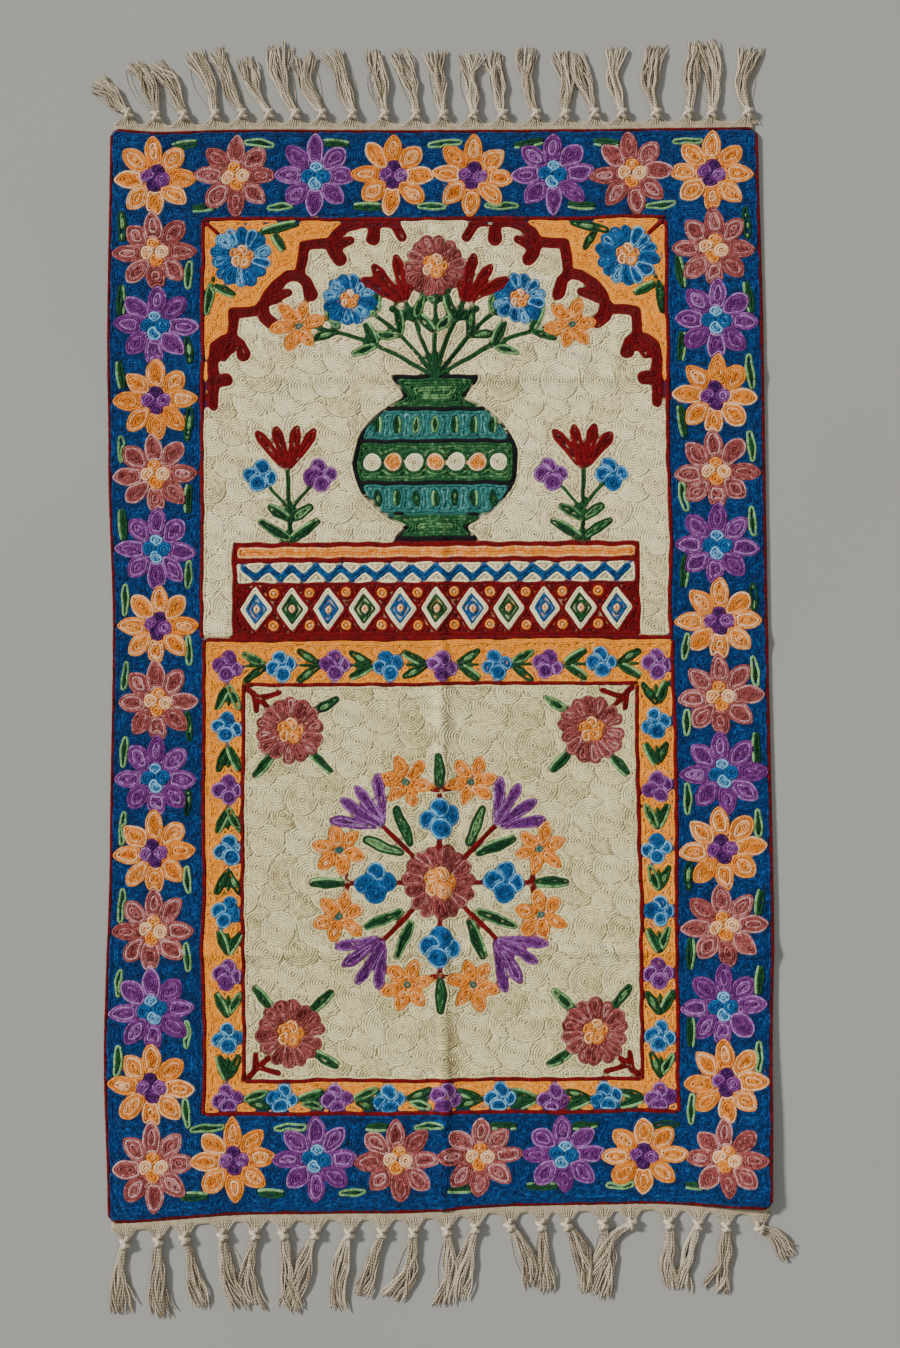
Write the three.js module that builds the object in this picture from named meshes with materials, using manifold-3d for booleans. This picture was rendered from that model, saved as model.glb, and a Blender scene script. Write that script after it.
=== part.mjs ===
// A hand-embroidered prayer mat, lying flat, with a knotted cotton fringe at each end.
// Millimetres, +Z up, +X across the mat, +Y along it towards the niche end.

import * as THREE from 'three';
import { mergeVertices } from 'three/addons/utils/BufferGeometryUtils.js';
import Module from 'manifold-3d';

// The embroidered cloth.
const WIDTH = 684;
const LENGTH = 1130;
const THICKNESS = 4;            // cotton canvas with its cover of wool chain stitch
const RIM_THICKNESS = 2.6;      // at the edge, where the last row of stitches rolls over
const RIM_WIDTH = 3;
const CORNER_RADIUS = 11;
const GRID_PITCH = 60;          // widest spacing of the lines that the sheet is bent on

// Creases left by folding the mat for storage, and the corner that lifts off the floor.
const CREASE_REACH = 20;        // from a crease's top to where the cloth is flat again
const LIFT_FROM = 235;          // x at which the right side starts to leave the floor

// The fringes.
const GAP = 0.3;                // between the cloth's edge and the fringe's strip
const STRIP_DEPTH = 7;          // bare canvas between two tassels
const STRIP_THICKNESS = 1.4;
const STRIP_END = 338;          // half the strip's length
const CLOSEST = 0.5;            // least step between two of its cross lines
const FAN_FOOT = 11;            // half width, at the strip, of the threads drawn in to a knot
const FAN_HEAD = 3;             // and at the knot
const FAN_SHORT = 3;            // how far short of the knot's centre they stop
const KNOT_RADIUS = 3.8;
const KNOT_OUT = { niche: 16, foot: 19 };   // from the cloth's edge to a knot's centre
const LOCKS = 4;                // locks of yarn in a tassel
const LOCK_RADIUS = 1.35;       // of the circle round a lock's three corners
const LOCK_PITCH = 3.4;
const LOCK_ROOT = 0.58;         // share of that pitch inside the knot
const LOCK_STEPS = 3;

// How far each side of the cloth stands out from the straight, by place along that side.
const SIDE_OUT = {
  left: [[-565, -4], [-400, 1], [-190, -4], [30, -6], [220, 0], [350, 2], [565, 0]],
  right: [[-565, -4], [-450, -2], [-250, 3], [50, 2], [350, 2.5], [565, 0]],
  niche: [[-342, 3], [-290, -1], [-200, 1], [0, -1], [342, 0]],
  foot: [[-342, 5.5], [-190, -3], [-40, -3.5], [80, -10], [210, -11.5], [342, -6]],
};

// Height of each crease, by place along it. The long one runs the length of the mat.
const LONG_CREASE = {
  x: 5,
  height: [[-565, 1.2], [-430, 2.0], [-300, 1.2], [-20, 2.0], [70, 1.0], [300, 0.6], [565, 0.5]],
};
const CROSS_CREASES = [
  { y: -298, height: [[-342, 0.8], [-170, 1.6], [0, 0.8], [180, 1.8], [342, 1.2]] },
  { y: 22, height: [[-342, 0.6], [0, 1.0], [342, 0.8]] },
  { y: 300, height: [[-342, 0.5], [0, 0.8], [342, 0.6]] },
];

// Height of the right edge over the floor, by place along it.
const RIGHT_LIFT = [[-565, 9], [-500, 7], [-330, 2.5], [0, 1], [400, 0.8], [565, 2]];

// Each tassel: its knot's place across the mat, how far its tips lean, and how far they reach.
const TASSELS = {
  niche: [
    [-323, -38, 50], [-293, -24, 62], [-264, -30, 65], [-231, -17, 72], [-202, -19, 75],
    [-174, -22, 66], [-146, -16, 76], [-118, -17, 68], [-86, -16, 71], [-52, -9, 71],
    [-19, -15, 72], [10, -6, 70], [42, -5, 66], [73, -7, 68], [108, -9, 71], [139, -5, 67],
    [170, -15, 67], [199, -6, 71], [235, 2, 72], [269, 3, 76], [294, -1, 76], [332, 2, 70],
  ],
  foot: [
    [-323, -2, 69], [-288, 3, 75], [-260, 12, 72], [-221, 13, 74], [-188, 0, 74],
    [-159, 3, 77], [-127, -12, 76], [-92, -7, 76], [-59, -17, 66], [-27, -14, 69],
    [7, -5, 73], [36, -13, 71], [71, 16, 65], [103, 5, 66], [129, 14, 68], [166, 0, 72],
    [194, -12, 66], [233, 1, 64], [263, -11, 66], [293, -7, 66], [325, 46, 44],
  ],
};

const wool = new THREE.MeshStandardMaterial({ color: 0x1a4f8c, roughness: 0.9, metalness: 0 });
const cotton = new THREE.MeshStandardMaterial({ color: 0xc8b9a5, roughness: 0.92, metalness: 0 });

const wasm = await Module();
wasm.setup();

// The value at a place in a table of [place, value] rows, eased from row to row.
function between(rows, place) {
  const after = rows.findIndex(([at]) => at >= place);
  if (after === 0) return rows[0][1];
  if (after < 0) return rows[rows.length - 1][1];
  const [from, low] = rows[after - 1];
  const [to, high] = rows[after];
  return THREE.MathUtils.lerp(low, high, THREE.MathUtils.smoothstep(place, from, to));
}

// A soft ridge: 1 on the crease, 0 from CREASE_REACH away.
function ridge(distance) {
  return 1 - THREE.MathUtils.smoothstep(Math.abs(distance), 0, CREASE_REACH);
}

// How far the cloth's underside is off the floor.
function lift(x, y) {
  const long = between(LONG_CREASE.height, y) * ridge(x - LONG_CREASE.x);
  const cross = CROSS_CREASES.map((crease) => between(crease.height, x) * ridge(y - crease.y));
  const side = between(RIGHT_LIFT, y) * THREE.MathUtils.smoothstep(x, LIFT_FROM, WIDTH / 2);
  return Math.max(long, ...cross) + side;
}

// A geometry's closed mesh with every point moved through place(x, y, z).
function shaped(geometry, place) {
  geometry.deleteAttribute('normal');
  geometry.deleteAttribute('uv');
  const merged = mergeVertices(geometry, 1e-4);
  const points = merged.attributes.position;
  for (let i = 0; i < points.count; i += 1) {
    const [x, y, z] = place(points.getX(i), points.getY(i), points.getZ(i));
    points.setXYZ(i, x, y, z);
  }
  return merged;
}

// Grid lines across a half size: the rim, the corner's round, each crease, and even steps between.
function gridLines(half, creases) {
  const rim = [0, RIM_WIDTH, CORNER_RADIUS / 2, CORNER_RADIUS];
  const folds = [-1, -0.5, 0, 0.5, 1].map((step) => step * CREASE_REACH);
  const keys = [
    ...rim.map((inset) => inset - half),
    ...creases.flatMap((crease) => folds.map((step) => crease + step)),
    ...rim.map((inset) => half - inset),
  ].sort((a, b) => a - b);
  const lines = [keys[0]];
  for (let i = 1; i < keys.length; i += 1) {
    const steps = Math.ceil((keys[i] - keys[i - 1]) / GRID_PITCH);
    for (let step = 1; step <= steps; step += 1) {
      lines.push(THREE.MathUtils.lerp(keys[i - 1], keys[i], step / steps));
    }
  }
  return lines;
}

// The outline's own shape: round corners, then sides as uneven as hand work leaves them.
function outlined(x, y) {
  const squareX = WIDTH / 2 - CORNER_RADIUS;
  const squareY = LENGTH / 2 - CORNER_RADIUS;
  const cornerX = Math.max(0, Math.abs(x) - squareX) / CORNER_RADIUS;
  const cornerY = Math.max(0, Math.abs(y) - squareY) / CORNER_RADIUS;
  let roundX = x;
  let roundY = y;
  if (cornerX > 0 && cornerY > 0) {
    roundX = Math.sign(x) * (squareX + CORNER_RADIUS * cornerX * Math.sqrt(1 - cornerY ** 2 / 2));
    roundY = Math.sign(y) * (squareY + CORNER_RADIUS * cornerY * Math.sqrt(1 - cornerX ** 2 / 2));
  }
  const across = roundX / WIDTH + 0.5;
  const along = roundY / LENGTH + 0.5;
  const sideways = across * between(SIDE_OUT.right, y) - (1 - across) * between(SIDE_OUT.left, y);
  const lengthways = along * between(SIDE_OUT.niche, x) - (1 - along) * between(SIDE_OUT.foot, x);
  return [roundX + sideways, roundY + lengthways];
}

// The embroidered canvas: one sheet, bent over its creases and lifted at its right side.
function embroideredCloth() {
  const xs = gridLines(WIDTH / 2, [LONG_CREASE.x]);
  const ys = gridLines(LENGTH / 2, CROSS_CREASES.map((crease) => crease.y));
  const sheet = new THREE.BoxGeometry(1, 1, 1, xs.length - 1, ys.length - 1, 1);
  return shaped(sheet, (u, v, side) => {
    const flatX = xs[Math.round((u + 0.5) * (xs.length - 1))];
    const flatY = ys[Math.round((v + 0.5) * (ys.length - 1))];
    const [x, y] = outlined(flatX, flatY);
    const inset = Math.min(WIDTH / 2 - Math.abs(flatX), LENGTH / 2 - Math.abs(flatY));
    const rise = THREE.MathUtils.smoothstep(inset, 0, RIM_WIDTH);
    const thickness = THREE.MathUtils.lerp(RIM_THICKNESS, THICKNESS, rise);
    return [x, y, lift(flatX, flatY) + (side > 0 ? thickness : 0)];
  });
}

// One end of the mat as seen from its fringe: +y away from the cloth, x across.
function clothEnd(name) {
  const turn = name === 'niche' ? 1 : -1;
  const rim = gridLines(WIDTH / 2, [LONG_CREASE.x])
    .map((x) => outlined(x, turn * LENGTH / 2).map((value) => turn * value))
    .sort((a, b) => a[0] - b[0]);
  const edge = (x) => {
    const next = rim.findIndex(([at]) => at >= x);
    if (next < 0) return rim[rim.length - 1][1];
    if (next === 0) return rim[0][1];
    const [fromX, fromY] = rim[next - 1];
    const [toX, toY] = rim[next];
    return THREE.MathUtils.mapLinear(x, fromX, toX, fromY, toY);
  };
  const height = (x) => lift(turn * x, turn * (LENGTH / 2));
  const tassels = TASSELS[name].map(([at, lean, reach]) => (
    { at: turn * at, lean: turn * lean, reach }));
  return { turn, rim, edge, height, tassels, knotOut: KNOT_OUT[name] };
}

// The bare canvas along the cloth's edge, drawn out to a point under each tassel.
function strip({ rim, edge, height, tassels, knotOut }) {
  const fan = knotOut - FAN_SHORT;
  const depth = (x) => Math.max(...tassels.map(({ at }) => {
    const drawn = (FAN_FOOT - Math.abs(x - at)) / (FAN_FOOT - FAN_HEAD);
    return THREE.MathUtils.lerp(STRIP_DEPTH, fan, THREE.MathUtils.clamp(drawn, 0, 1));
  }));
  const bends = tassels.flatMap(({ at }) => (
    [at - FAN_FOOT, at - FAN_HEAD, at + FAN_HEAD, at + FAN_FOOT]));
  const stations = [...rim.map(([x]) => x), ...bends, -STRIP_END, STRIP_END]
    .filter((x) => Math.abs(x) <= STRIP_END)
    .sort((a, b) => a - b)
    .filter((x, i, all) => i === 0 || x - all[i - 1] > CLOSEST);
  const band = new THREE.BoxGeometry(1, 1, STRIP_THICKNESS, stations.length - 1, 1, 1);
  return shaped(band, (u, v, z) => {
    const x = stations[Math.round((u + 0.5) * (stations.length - 1))];
    const y = edge(x) + (v > 0 ? depth(x) : GAP);
    return [x, y, height(x) + z + STRIP_THICKNESS / 2];
  });
}

// A tassel's knot, resting on the floor or hanging from a lifted edge.
function knot({ edge, height, knotOut }, { at }) {
  const ball = new THREE.SphereGeometry(KNOT_RADIUS, 6, 4).rotateX(Math.PI / 2);
  return shaped(ball, (x, y, z) => (
    [at + x, edge(at) + knotOut + 1.3 * y, KNOT_RADIUS + height(at) * 0.6 + z]));
}

// One lock of yarn: a three-sided strand that comes down from the knot and lies level.
function lock({ edge, height, knotOut }, { at, lean, reach }, index) {
  const place = index - (LOCKS - 1) / 2;
  const bow = 3 * Math.sin(at);
  const shortening = 3 * Math.abs(Math.sin(at + 2 * index));
  const route = (t) => {
    const spread = place * LOCK_PITCH * THREE.MathUtils.lerp(LOCK_ROOT, 1, Math.sin(Math.PI * t / 2));
    const x = at + lean * t + bow * Math.sin(Math.PI * t) + spread;
    const y = edge(at) + knotOut + (reach - shortening) * t;
    const start = KNOT_RADIUS * 0.5 + height(at) * 0.6;
    const z = start * (1 - THREE.MathUtils.smoothstep(t, 0, 1 / LOCK_STEPS));
    return new THREE.Vector3(x, y, z);
  };
  const strand = new THREE.CylinderGeometry(LOCK_RADIUS, LOCK_RADIUS, 1, 3, LOCK_STEPS);
  return shaped(strand, (across, along, up) => {
    const t = along + 0.5;
    const centre = route(t);
    const ahead = route(t + 0.01).sub(route(t - 0.01)).setZ(0).normalize();
    return [
      centre.x + across * ahead.y,
      centre.y - across * ahead.x,
      centre.z + up + LOCK_RADIUS / 2,
    ];
  });
}

function toSolid(geometry) {
  return new wasm.Manifold(new wasm.Mesh({
    numProp: 3,
    vertProperties: geometry.attributes.position.array,
    triVerts: new Uint32Array(geometry.index.array),
  }));
}

// The strip, its knots and their locks of yarn, joined into one piece.
function fringe(name) {
  const end = clothEnd(name);
  let joined = toSolid(strip(end));
  for (const tassel of end.tassels) {
    joined = joined.add(toSolid(knot(end, tassel)));
    for (let index = 0; index < LOCKS; index += 1) {
      joined = joined.add(toSolid(lock(end, tassel, index)));
    }
  }
  const { vertProperties, triVerts } = joined.getMesh();
  const geometry = new THREE.BufferGeometry();
  geometry.setAttribute('position', new THREE.BufferAttribute(vertProperties, 3));
  geometry.setIndex(new THREE.BufferAttribute(triVerts, 1));
  return geometry.rotateZ(end.turn > 0 ? 0 : Math.PI);
}

function piece(name, geometry, material) {
  const mesh = new THREE.Mesh(geometry, material);
  mesh.name = name;
  return mesh;
}

const mat = new THREE.Group();
mat.add(piece('mat', embroideredCloth(), wool));
mat.add(piece('fringe_top', fringe('niche'), cotton));
mat.add(piece('fringe_bottom', fringe('foot'), cotton));

// The origin is the middle of the whole outline, on the floor.
const outline = new THREE.Box3().setFromObject(mat);
const middle = outline.getCenter(new THREE.Vector3());
mat.position.set(-middle.x, -middle.y, -outline.min.z);

export default mat;
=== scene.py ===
"""A hand-embroidered prayer mat: wool chain stitch over cotton canvas, with knotted cotton fringes.

The embroidery is real geometry. Every motif is painted, as a distance in millimetres, on a plan of
the flat cloth. Rows of chain stitch then follow the depth inside each motif, as a worker fills a
shape from its outline inwards, and the plain cream field is filled with coiled rosettes.
"""

import math
from collections import namedtuple

import bmesh
import bpy
import numpy as np
from mathutils import Euler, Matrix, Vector


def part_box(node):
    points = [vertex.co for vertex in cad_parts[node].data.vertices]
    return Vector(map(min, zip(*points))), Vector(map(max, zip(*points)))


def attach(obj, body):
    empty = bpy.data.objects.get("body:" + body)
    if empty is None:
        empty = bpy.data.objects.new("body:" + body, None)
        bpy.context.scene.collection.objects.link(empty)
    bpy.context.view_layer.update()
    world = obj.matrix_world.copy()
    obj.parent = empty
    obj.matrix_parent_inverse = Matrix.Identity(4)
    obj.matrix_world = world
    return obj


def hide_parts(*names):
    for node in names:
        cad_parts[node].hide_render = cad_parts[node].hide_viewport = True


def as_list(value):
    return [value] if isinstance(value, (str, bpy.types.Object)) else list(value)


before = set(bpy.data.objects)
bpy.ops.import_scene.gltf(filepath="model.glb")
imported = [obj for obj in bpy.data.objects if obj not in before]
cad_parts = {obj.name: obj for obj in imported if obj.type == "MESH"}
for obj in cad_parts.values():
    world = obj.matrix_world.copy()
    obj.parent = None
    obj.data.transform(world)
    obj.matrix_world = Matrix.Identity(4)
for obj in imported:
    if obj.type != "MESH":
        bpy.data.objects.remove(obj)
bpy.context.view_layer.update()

MM = 0.001
rng = np.random.default_rng(31)

# The cloth, in millimetres. Its outline is the solid's, and its folds stand a little higher
WIDTH = 684
LENGTH = 1130
CORNER_RADIUS = 11
RIM_WIDTH = 3
BORDER = 98                 # width of the blue border
SIDE_OUT = {
    "left": ((-565, -4), (-400, 1), (-190, -4), (30, -6), (220, 0), (350, 2), (565, 0)),
    "right": ((-565, -4), (-450, -2), (-250, 3), (50, 2), (350, 2.5), (565, 0)),
    "niche": ((-342, 3), (-290, -1), (-200, 1), (0, -1), (342, 0)),
    "foot": ((-342, 5.5), (-190, -3), (-40, -3.5), (80, -10), (210, -11.5), (342, -6)),
}
CREASE_REACH = 17           # from a fold's top to where the cloth is flat again
CREST, CREST_REACH = 0.5, 8 # a fold's sharp middle, as a share of its height, and its reach
LIFT_FROM = 235             # x at which the right side starts to leave the floor
RIPPLE = 0.9                # height of the soft waves that are left in the cloth
# Each fold: its place across or along the mat, and its height by place along the fold
LONG_CREASE = (5, ((-565, 2.0), (-430, 3.2), (-300, 2.2), (-20, 3.2), (70, 1.8), (300, 1.1),
                   (565, 0.8)))
CROSS_CREASES = (
    (-298, ((-342, 1.3), (-170, 2.6), (0, 1.4), (180, 2.9), (342, 2.0))),
    (22, ((-342, 0.9), (0, 1.6), (342, 1.3))),
    (300, ((-342, 0.8), (0, 1.3), (342, 1.0))),
)
# Height of the right edge over the floor, by place along it
RIGHT_LIFT = ((-565, 9), (-500, 7), (-330, 2.5), (0, 1), (400, 0.8), (565, 2))

# The work on it
CANVAS = 1.9                # height of the canvas under the stitches
STITCH = 3.0                # one loop of chain stitch, as long as a real one
SHORTEST = 1.2 * STITCH     # the shortest row worth working
ROW_STEP = 2.3              # from point to point along a row's mesh
ROW_PITCH = 2.7             # from row to row in the cream ground
BLUE_PITCH = 2.4            # in the blue one
MOTIF_PITCH = 2.2           # and in flowers and leaves, worked finer
ROW_OVERLAP = 1.2           # a row's width over the row pitch
ECHO_ROWS = 1               # rows of the cream ground that follow the motifs in it
STITCH_BASE = 2.0           # height of a row's foot
ROW_END = 0.45              # a row's width at its ends, as a share of the rest
WOBBLE = 0.42               # how far a hand's outlines drift
# Spacing of the canvas's threads and of those in its drawn out edge. The real 0.8 mm is too fine to
# show, and these are as coarse as they need to be
CANVAS_THREAD, DRAWN_THREAD = 1.6, 1.1
PLAN_STEP = 1.0             # grid of the plan
CLOTH_STEP = 7.0            # grid of the canvas


def eased(rows, place):
    """The value at a place in a table of (place, value) rows, eased from row to row."""
    at, value = np.array(rows, float).T
    i = np.clip(np.searchsorted(at, place) - 1, 0, len(at) - 2)
    t = np.clip((place - at[i]) / (at[i + 1] - at[i]), 0, 1)
    return value[i] + (value[i + 1] - value[i]) * smooth(t)


def smooth(t):
    """0 up to t = 0 and 1 from t = 1, eased between them."""
    t = np.clip(t, 0, 1)
    return t * t * (3 - 2 * t)


def ridge(distance):
    """A fold's height as a share of its top, by the distance from its middle."""
    wide = 1 - smooth(np.abs(distance) / CREASE_REACH)
    return wide + CREST * (1 - smooth(np.abs(distance) / CREST_REACH))


def lift(x, y):
    """How far the cloth's underside is off the floor."""
    long_x, long_height = LONG_CREASE
    height = eased(long_height, y) * ridge(x - long_x)
    for crease_y, crease_height in CROSS_CREASES:
        height = np.maximum(height, eased(crease_height, x) * ridge(y - crease_y))
    # Two crossed waves, each bent by the other's slower one, from 0 to 1
    ripple = (np.sin(x / 23 + 2.1 * np.sin(y / 61)) * np.sin(y / 31 + 1.7 * np.sin(x / 47)) + 1) / 2
    waves = RIPPLE * ripple * smooth((WIDTH / 2 - np.abs(x)) / BORDER)
    return height + waves + eased(RIGHT_LIFT, y) * smooth((x - LIFT_FROM) / (WIDTH / 2 - LIFT_FROM))


def lying(x, y):
    """Where a point of the straight, flat plan lies in the real, uneven outline."""
    square_x = WIDTH / 2 - CORNER_RADIUS
    square_y = LENGTH / 2 - CORNER_RADIUS
    corner_x = np.clip((np.abs(x) - square_x) / CORNER_RADIUS, 0, 1)
    corner_y = np.clip((np.abs(y) - square_y) / CORNER_RADIUS, 0, 1)
    round_x = np.where(
        corner_y > 0,
        np.sign(x) * (np.minimum(np.abs(x), square_x)
                      + CORNER_RADIUS * corner_x * np.sqrt(1 - corner_y**2 / 2)),
        x)
    round_y = np.where(
        corner_x > 0,
        np.sign(y) * (np.minimum(np.abs(y), square_y)
                      + CORNER_RADIUS * corner_y * np.sqrt(1 - corner_x**2 / 2)),
        y)
    near_right = np.clip(1 - (WIDTH / 2 - x) / BORDER, 0, 1)
    near_left = np.clip(1 - (WIDTH / 2 + x) / BORDER, 0, 1)
    near_niche = np.clip(1 - (LENGTH / 2 - y) / BORDER, 0, 1)
    near_foot = np.clip(1 - (LENGTH / 2 + y) / BORDER, 0, 1)
    sideways = near_right * eased(SIDE_OUT["right"], y) - near_left * eased(SIDE_OUT["left"], y)
    lengthways = near_niche * eased(SIDE_OUT["niche"], x) - near_foot * eased(SIDE_OUT["foot"], x)
    return round_x + sideways, round_y + lengthways


def rim(x, y):
    """0 on the cloth's edge, 1 from RIM_WIDTH inwards."""
    inset = np.minimum(WIDTH / 2 - np.abs(x), LENGTH / 2 - np.abs(y))
    return smooth(inset / RIM_WIDTH)


def outline_middle(points=2001):
    """The middle of the box round the cloth's uneven outline."""
    along = np.linspace(-0.5, 0.5, points)
    ends = [lying(along * WIDTH, np.full(points, side * LENGTH / 2)) for side in (-1, 1)]
    sides = [lying(np.full(points, side * WIDTH / 2), along * LENGTH) for side in (-1, 1)]
    x, y = np.concatenate(ends + sides, axis=1)
    return np.array(((x.min() + x.max()) / 2, (y.min() + y.max()) / 2))


def plan_origin():
    """The row frame's place, in metres, of the plan's (0, 0)."""
    low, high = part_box("mat")
    return (np.array(low)[:2] + np.array(high)[:2]) / 2 - outline_middle() * MM


ORIGIN = plan_origin()


def settled(x, y, height):
    """Points of the plan, height millimetres above the cloth's underside, in the row frame."""
    lying_x, lying_y = lying(x, y)
    return np.column_stack((
        ORIGIN[0] + lying_x * MM,
        ORIGIN[1] + lying_y * MM,
        (lift(x, y) + height) * MM,
    ))


# Shapes on the plan: the distance to the edge, negative inside, and the box that holds the shape
Shape = namedtuple("Shape", "distance box")


def disc(x, y, radius):
    """A circle."""
    return Shape(lambda px, py: np.hypot(px - x, py - y) - radius,
                 (x - radius, x + radius, y - radius, y + radius))


def block(x0, x1, y0, y1, corner=0.0):
    """An upright rectangle."""
    def distance(px, py):
        dx = np.abs(px - (x0 + x1) / 2) - (x1 - x0) / 2 + corner
        dy = np.abs(py - (y0 + y1) / 2) - (y1 - y0) / 2 + corner
        return np.hypot(np.maximum(dx, 0), np.maximum(dy, 0)) + np.minimum(
            np.maximum(dx, dy), 0) - corner
    return Shape(distance, (x0, x1, y0, y1))


def lens(start, end, half):
    """A pointed oval from tip to tip, as wide as twice half."""
    (ax, ay), (bx, by) = start, end
    reach = math.hypot(bx - ax, by - ay) / 2
    ux, uy = (bx - ax) / (2 * reach), (by - ay) / (2 * reach)
    mx, my = (ax + bx) / 2, (ay + by) / 2
    radius = (reach**2 + half**2) / (2 * half)
    inset = radius - half

    def distance(px, py):
        along = np.abs((px - mx) * ux + (py - my) * uy)
        across = np.abs((py - my) * ux - (px - mx) * uy)
        on_arc = along * inset <= reach * (across + inset)
        return np.where(on_arc, np.hypot(across + inset, along) - radius,
                        np.hypot(across, along - reach))
    return Shape(distance, (mx - reach, mx + reach, my - reach, my + reach))


def drop(start, end, start_half, end_half):
    """A round-ended taper."""
    (ax, ay), (bx, by) = start, end
    length2 = (bx - ax)**2 + (by - ay)**2
    wide = max(start_half, end_half)

    def distance(px, py):
        t = np.clip(((px - ax) * (bx - ax) + (py - ay) * (by - ay)) / length2, 0, 1)
        half = start_half + (end_half - start_half) * t
        return np.hypot(px - ax - (bx - ax) * t, py - ay - (by - ay) * t) - half
    return Shape(distance, (min(ax, bx) - wide, max(ax, bx) + wide,
                            min(ay, by) - wide, max(ay, by) + wide))


def united(shapes):
    """All the shapes as one."""
    boxes = np.array([shape.box for shape in shapes])

    def distance(px, py):
        nearest = shapes[0].distance(px, py)
        for shape in shapes[1:]:
            nearest = np.minimum(nearest, shape.distance(px, py))
        return nearest
    return Shape(distance, (boxes[:, 0].min(), boxes[:, 1].max(),
                            boxes[:, 2].min(), boxes[:, 3].max()))


def stroke(points, half):
    """A line of even width through the points."""
    return united([drop(a, b, half, half) for a, b in zip(points, points[1:])])


def outlined(points):
    """The inside of a closed outline."""
    points = [tuple(point) for point in points]
    pairs = list(zip(points, points[1:] + points[:1]))
    edge = united([drop(a, b, 0, 0) for a, b in pairs])

    def distance(px, py):
        inside = np.zeros(px.shape, bool)
        for (ax, ay), (bx, by) in pairs:
            if ay != by:
                crossing = ax + (py - ay) * (bx - ax) / (by - ay)
                inside ^= ((ay > py) != (by > py)) & (px < crossing)
        away = edge.distance(px, py)
        return np.where(inside, -away, away)
    return Shape(distance, edge.box)


# The plan: which wool covers each place, and how deep that place lies inside its motif
Region = namedtuple("Region", "wool tones pitch coiled")
Row = namedtuple("Row", "points closed wool tone pitch region", defaults=(None,))
ECHO = 24                   # how far from a motif the rows around it still follow it
NO_ROWS = 1000.0            # a pitch at which no row fits in, for what is worked as a line


class Plan:
    """The design on a grid of points of the flat cloth, and the rows worked over it so far."""

    def __init__(self):
        xs = np.arange(-WIDTH / 2 - 3, WIDTH / 2 + 3 + PLAN_STEP, PLAN_STEP)
        ys = np.arange(-LENGTH / 2 - 3, LENGTH / 2 + 3 + PLAN_STEP, PLAN_STEP)
        self.x, self.y = np.meshgrid(xs, ys)
        self.corner = np.array((xs[0], ys[0]))
        # A hand's unevenness: outlines drift by about a millimetre
        self.drift_x = WOBBLE * (np.sin(self.x / 9.1 + 3 * np.sin(self.y / 17)) + np.sin(self.y / 5.3))
        self.drift_y = WOBBLE * (np.sin(self.y / 8.3 + 3 * np.sin(self.x / 19)) + np.sin(self.x / 4.7))
        self.region = np.full(self.x.shape, -1, np.int32)
        self.depth = np.zeros(self.x.shape)
        self.regions = []
        self.rows = []

    def index(self, x, y):
        """Grid indices of the points nearest to x, y."""
        column = np.clip(np.rint((x - self.corner[0]) / PLAN_STEP), 0, self.x.shape[1] - 1)
        line = np.clip(np.rint((y - self.corner[1]) / PLAN_STEP), 0, self.x.shape[0] - 1)
        return line.astype(int), column.astype(int)

    def window(self, x0, x1, y0, y1):
        """The part of the grid inside a rectangle."""
        lines, columns = self.index(np.array([x0, x1]), np.array([y0, y1]))
        return slice(lines[0], lines[1] + 1), slice(columns[0], columns[1] + 1)

    def fill(self, shape, wool, tones, half=None, pitch=ROW_PITCH, coiled=False):
        """Covers a shape with rows of one wool.

        tones go from the outline inwards. half is the shape's half width, into which a whole number
        of rows is fitted. A coiled shape is filled with rosettes instead of rows all the way in."""
        if half:
            pitch = half / max(1, round(half / MOTIF_PITCH))
        x0, x1, y0, y1 = shape.box
        window = self.window(x0 - ECHO, x1 + ECHO, y0 - ECHO, y1 + ECHO)
        away = shape.distance(self.x[window] + self.drift_x[window],
                              self.y[window] + self.drift_y[window])
        region = self.region[window]
        depth = self.depth[window]
        on_cloth = region >= 0 if self.regions else np.full(region.shape, True)
        inside = (away < 0) & on_cloth
        depth[...] = np.where(inside, -away, np.where(on_cloth, np.minimum(depth, away), depth))
        if not self.regions:
            depth[~inside] = 0
        region[inside] = len(self.regions)
        self.regions.append(Region(wool, tones, pitch, coiled))

    def line(self, points, wool, tone, width=3.2):
        """One row of stitches along the points, with the cloth on both sides kept clear of it."""
        here = len(self.regions)
        self.fill(stroke(points, width / 2), wool, (tone,), pitch=NO_ROWS)
        strands = max(1, round(width / ROW_PITCH))
        path, _ = stepped(np.array(points, float), False, 1.0)
        aside = np.gradient(path, axis=0)[:, ::-1] * (-1, 1)
        aside /= np.maximum(np.hypot(*aside.T), 1e-6)[:, None]
        for i in range(strands):
            offset = (i - (strands - 1) / 2) * width / strands
            self.rows.append(Row(path + aside * offset, False, wool, tone, width / strands, here))

    def pitch_and_coil(self):
        """The row pitch, and whether it is coiled, of every region and of the grid off the cloth."""
        pitches = np.array([region.pitch for region in self.regions] + [NO_ROWS])
        coiled = np.array([region.coiled for region in self.regions] + [False])
        return pitches[self.region], coiled[self.region]

    def points_of(self, places):
        """Points of the plan for places in grid units (column, line)."""
        return places * PLAN_STEP + self.corner

    def uncovered(self):
        """The rows, with each line cut where something was worked over it later."""
        for row in self.rows:
            if row.region is None:
                yield row
                continue
            on = self.region[self.index(*row.points.T)] == row.region
            for begin, end in runs(on):
                if end - begin >= STITCH:
                    yield row._replace(points=row.points[begin:end])


def runs(on):
    """The start and end of each stretch of True."""
    edges = np.flatnonzero(np.diff(np.concatenate(([0], on.astype(int), [0]))))
    return zip(edges[::2], edges[1::2])


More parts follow.
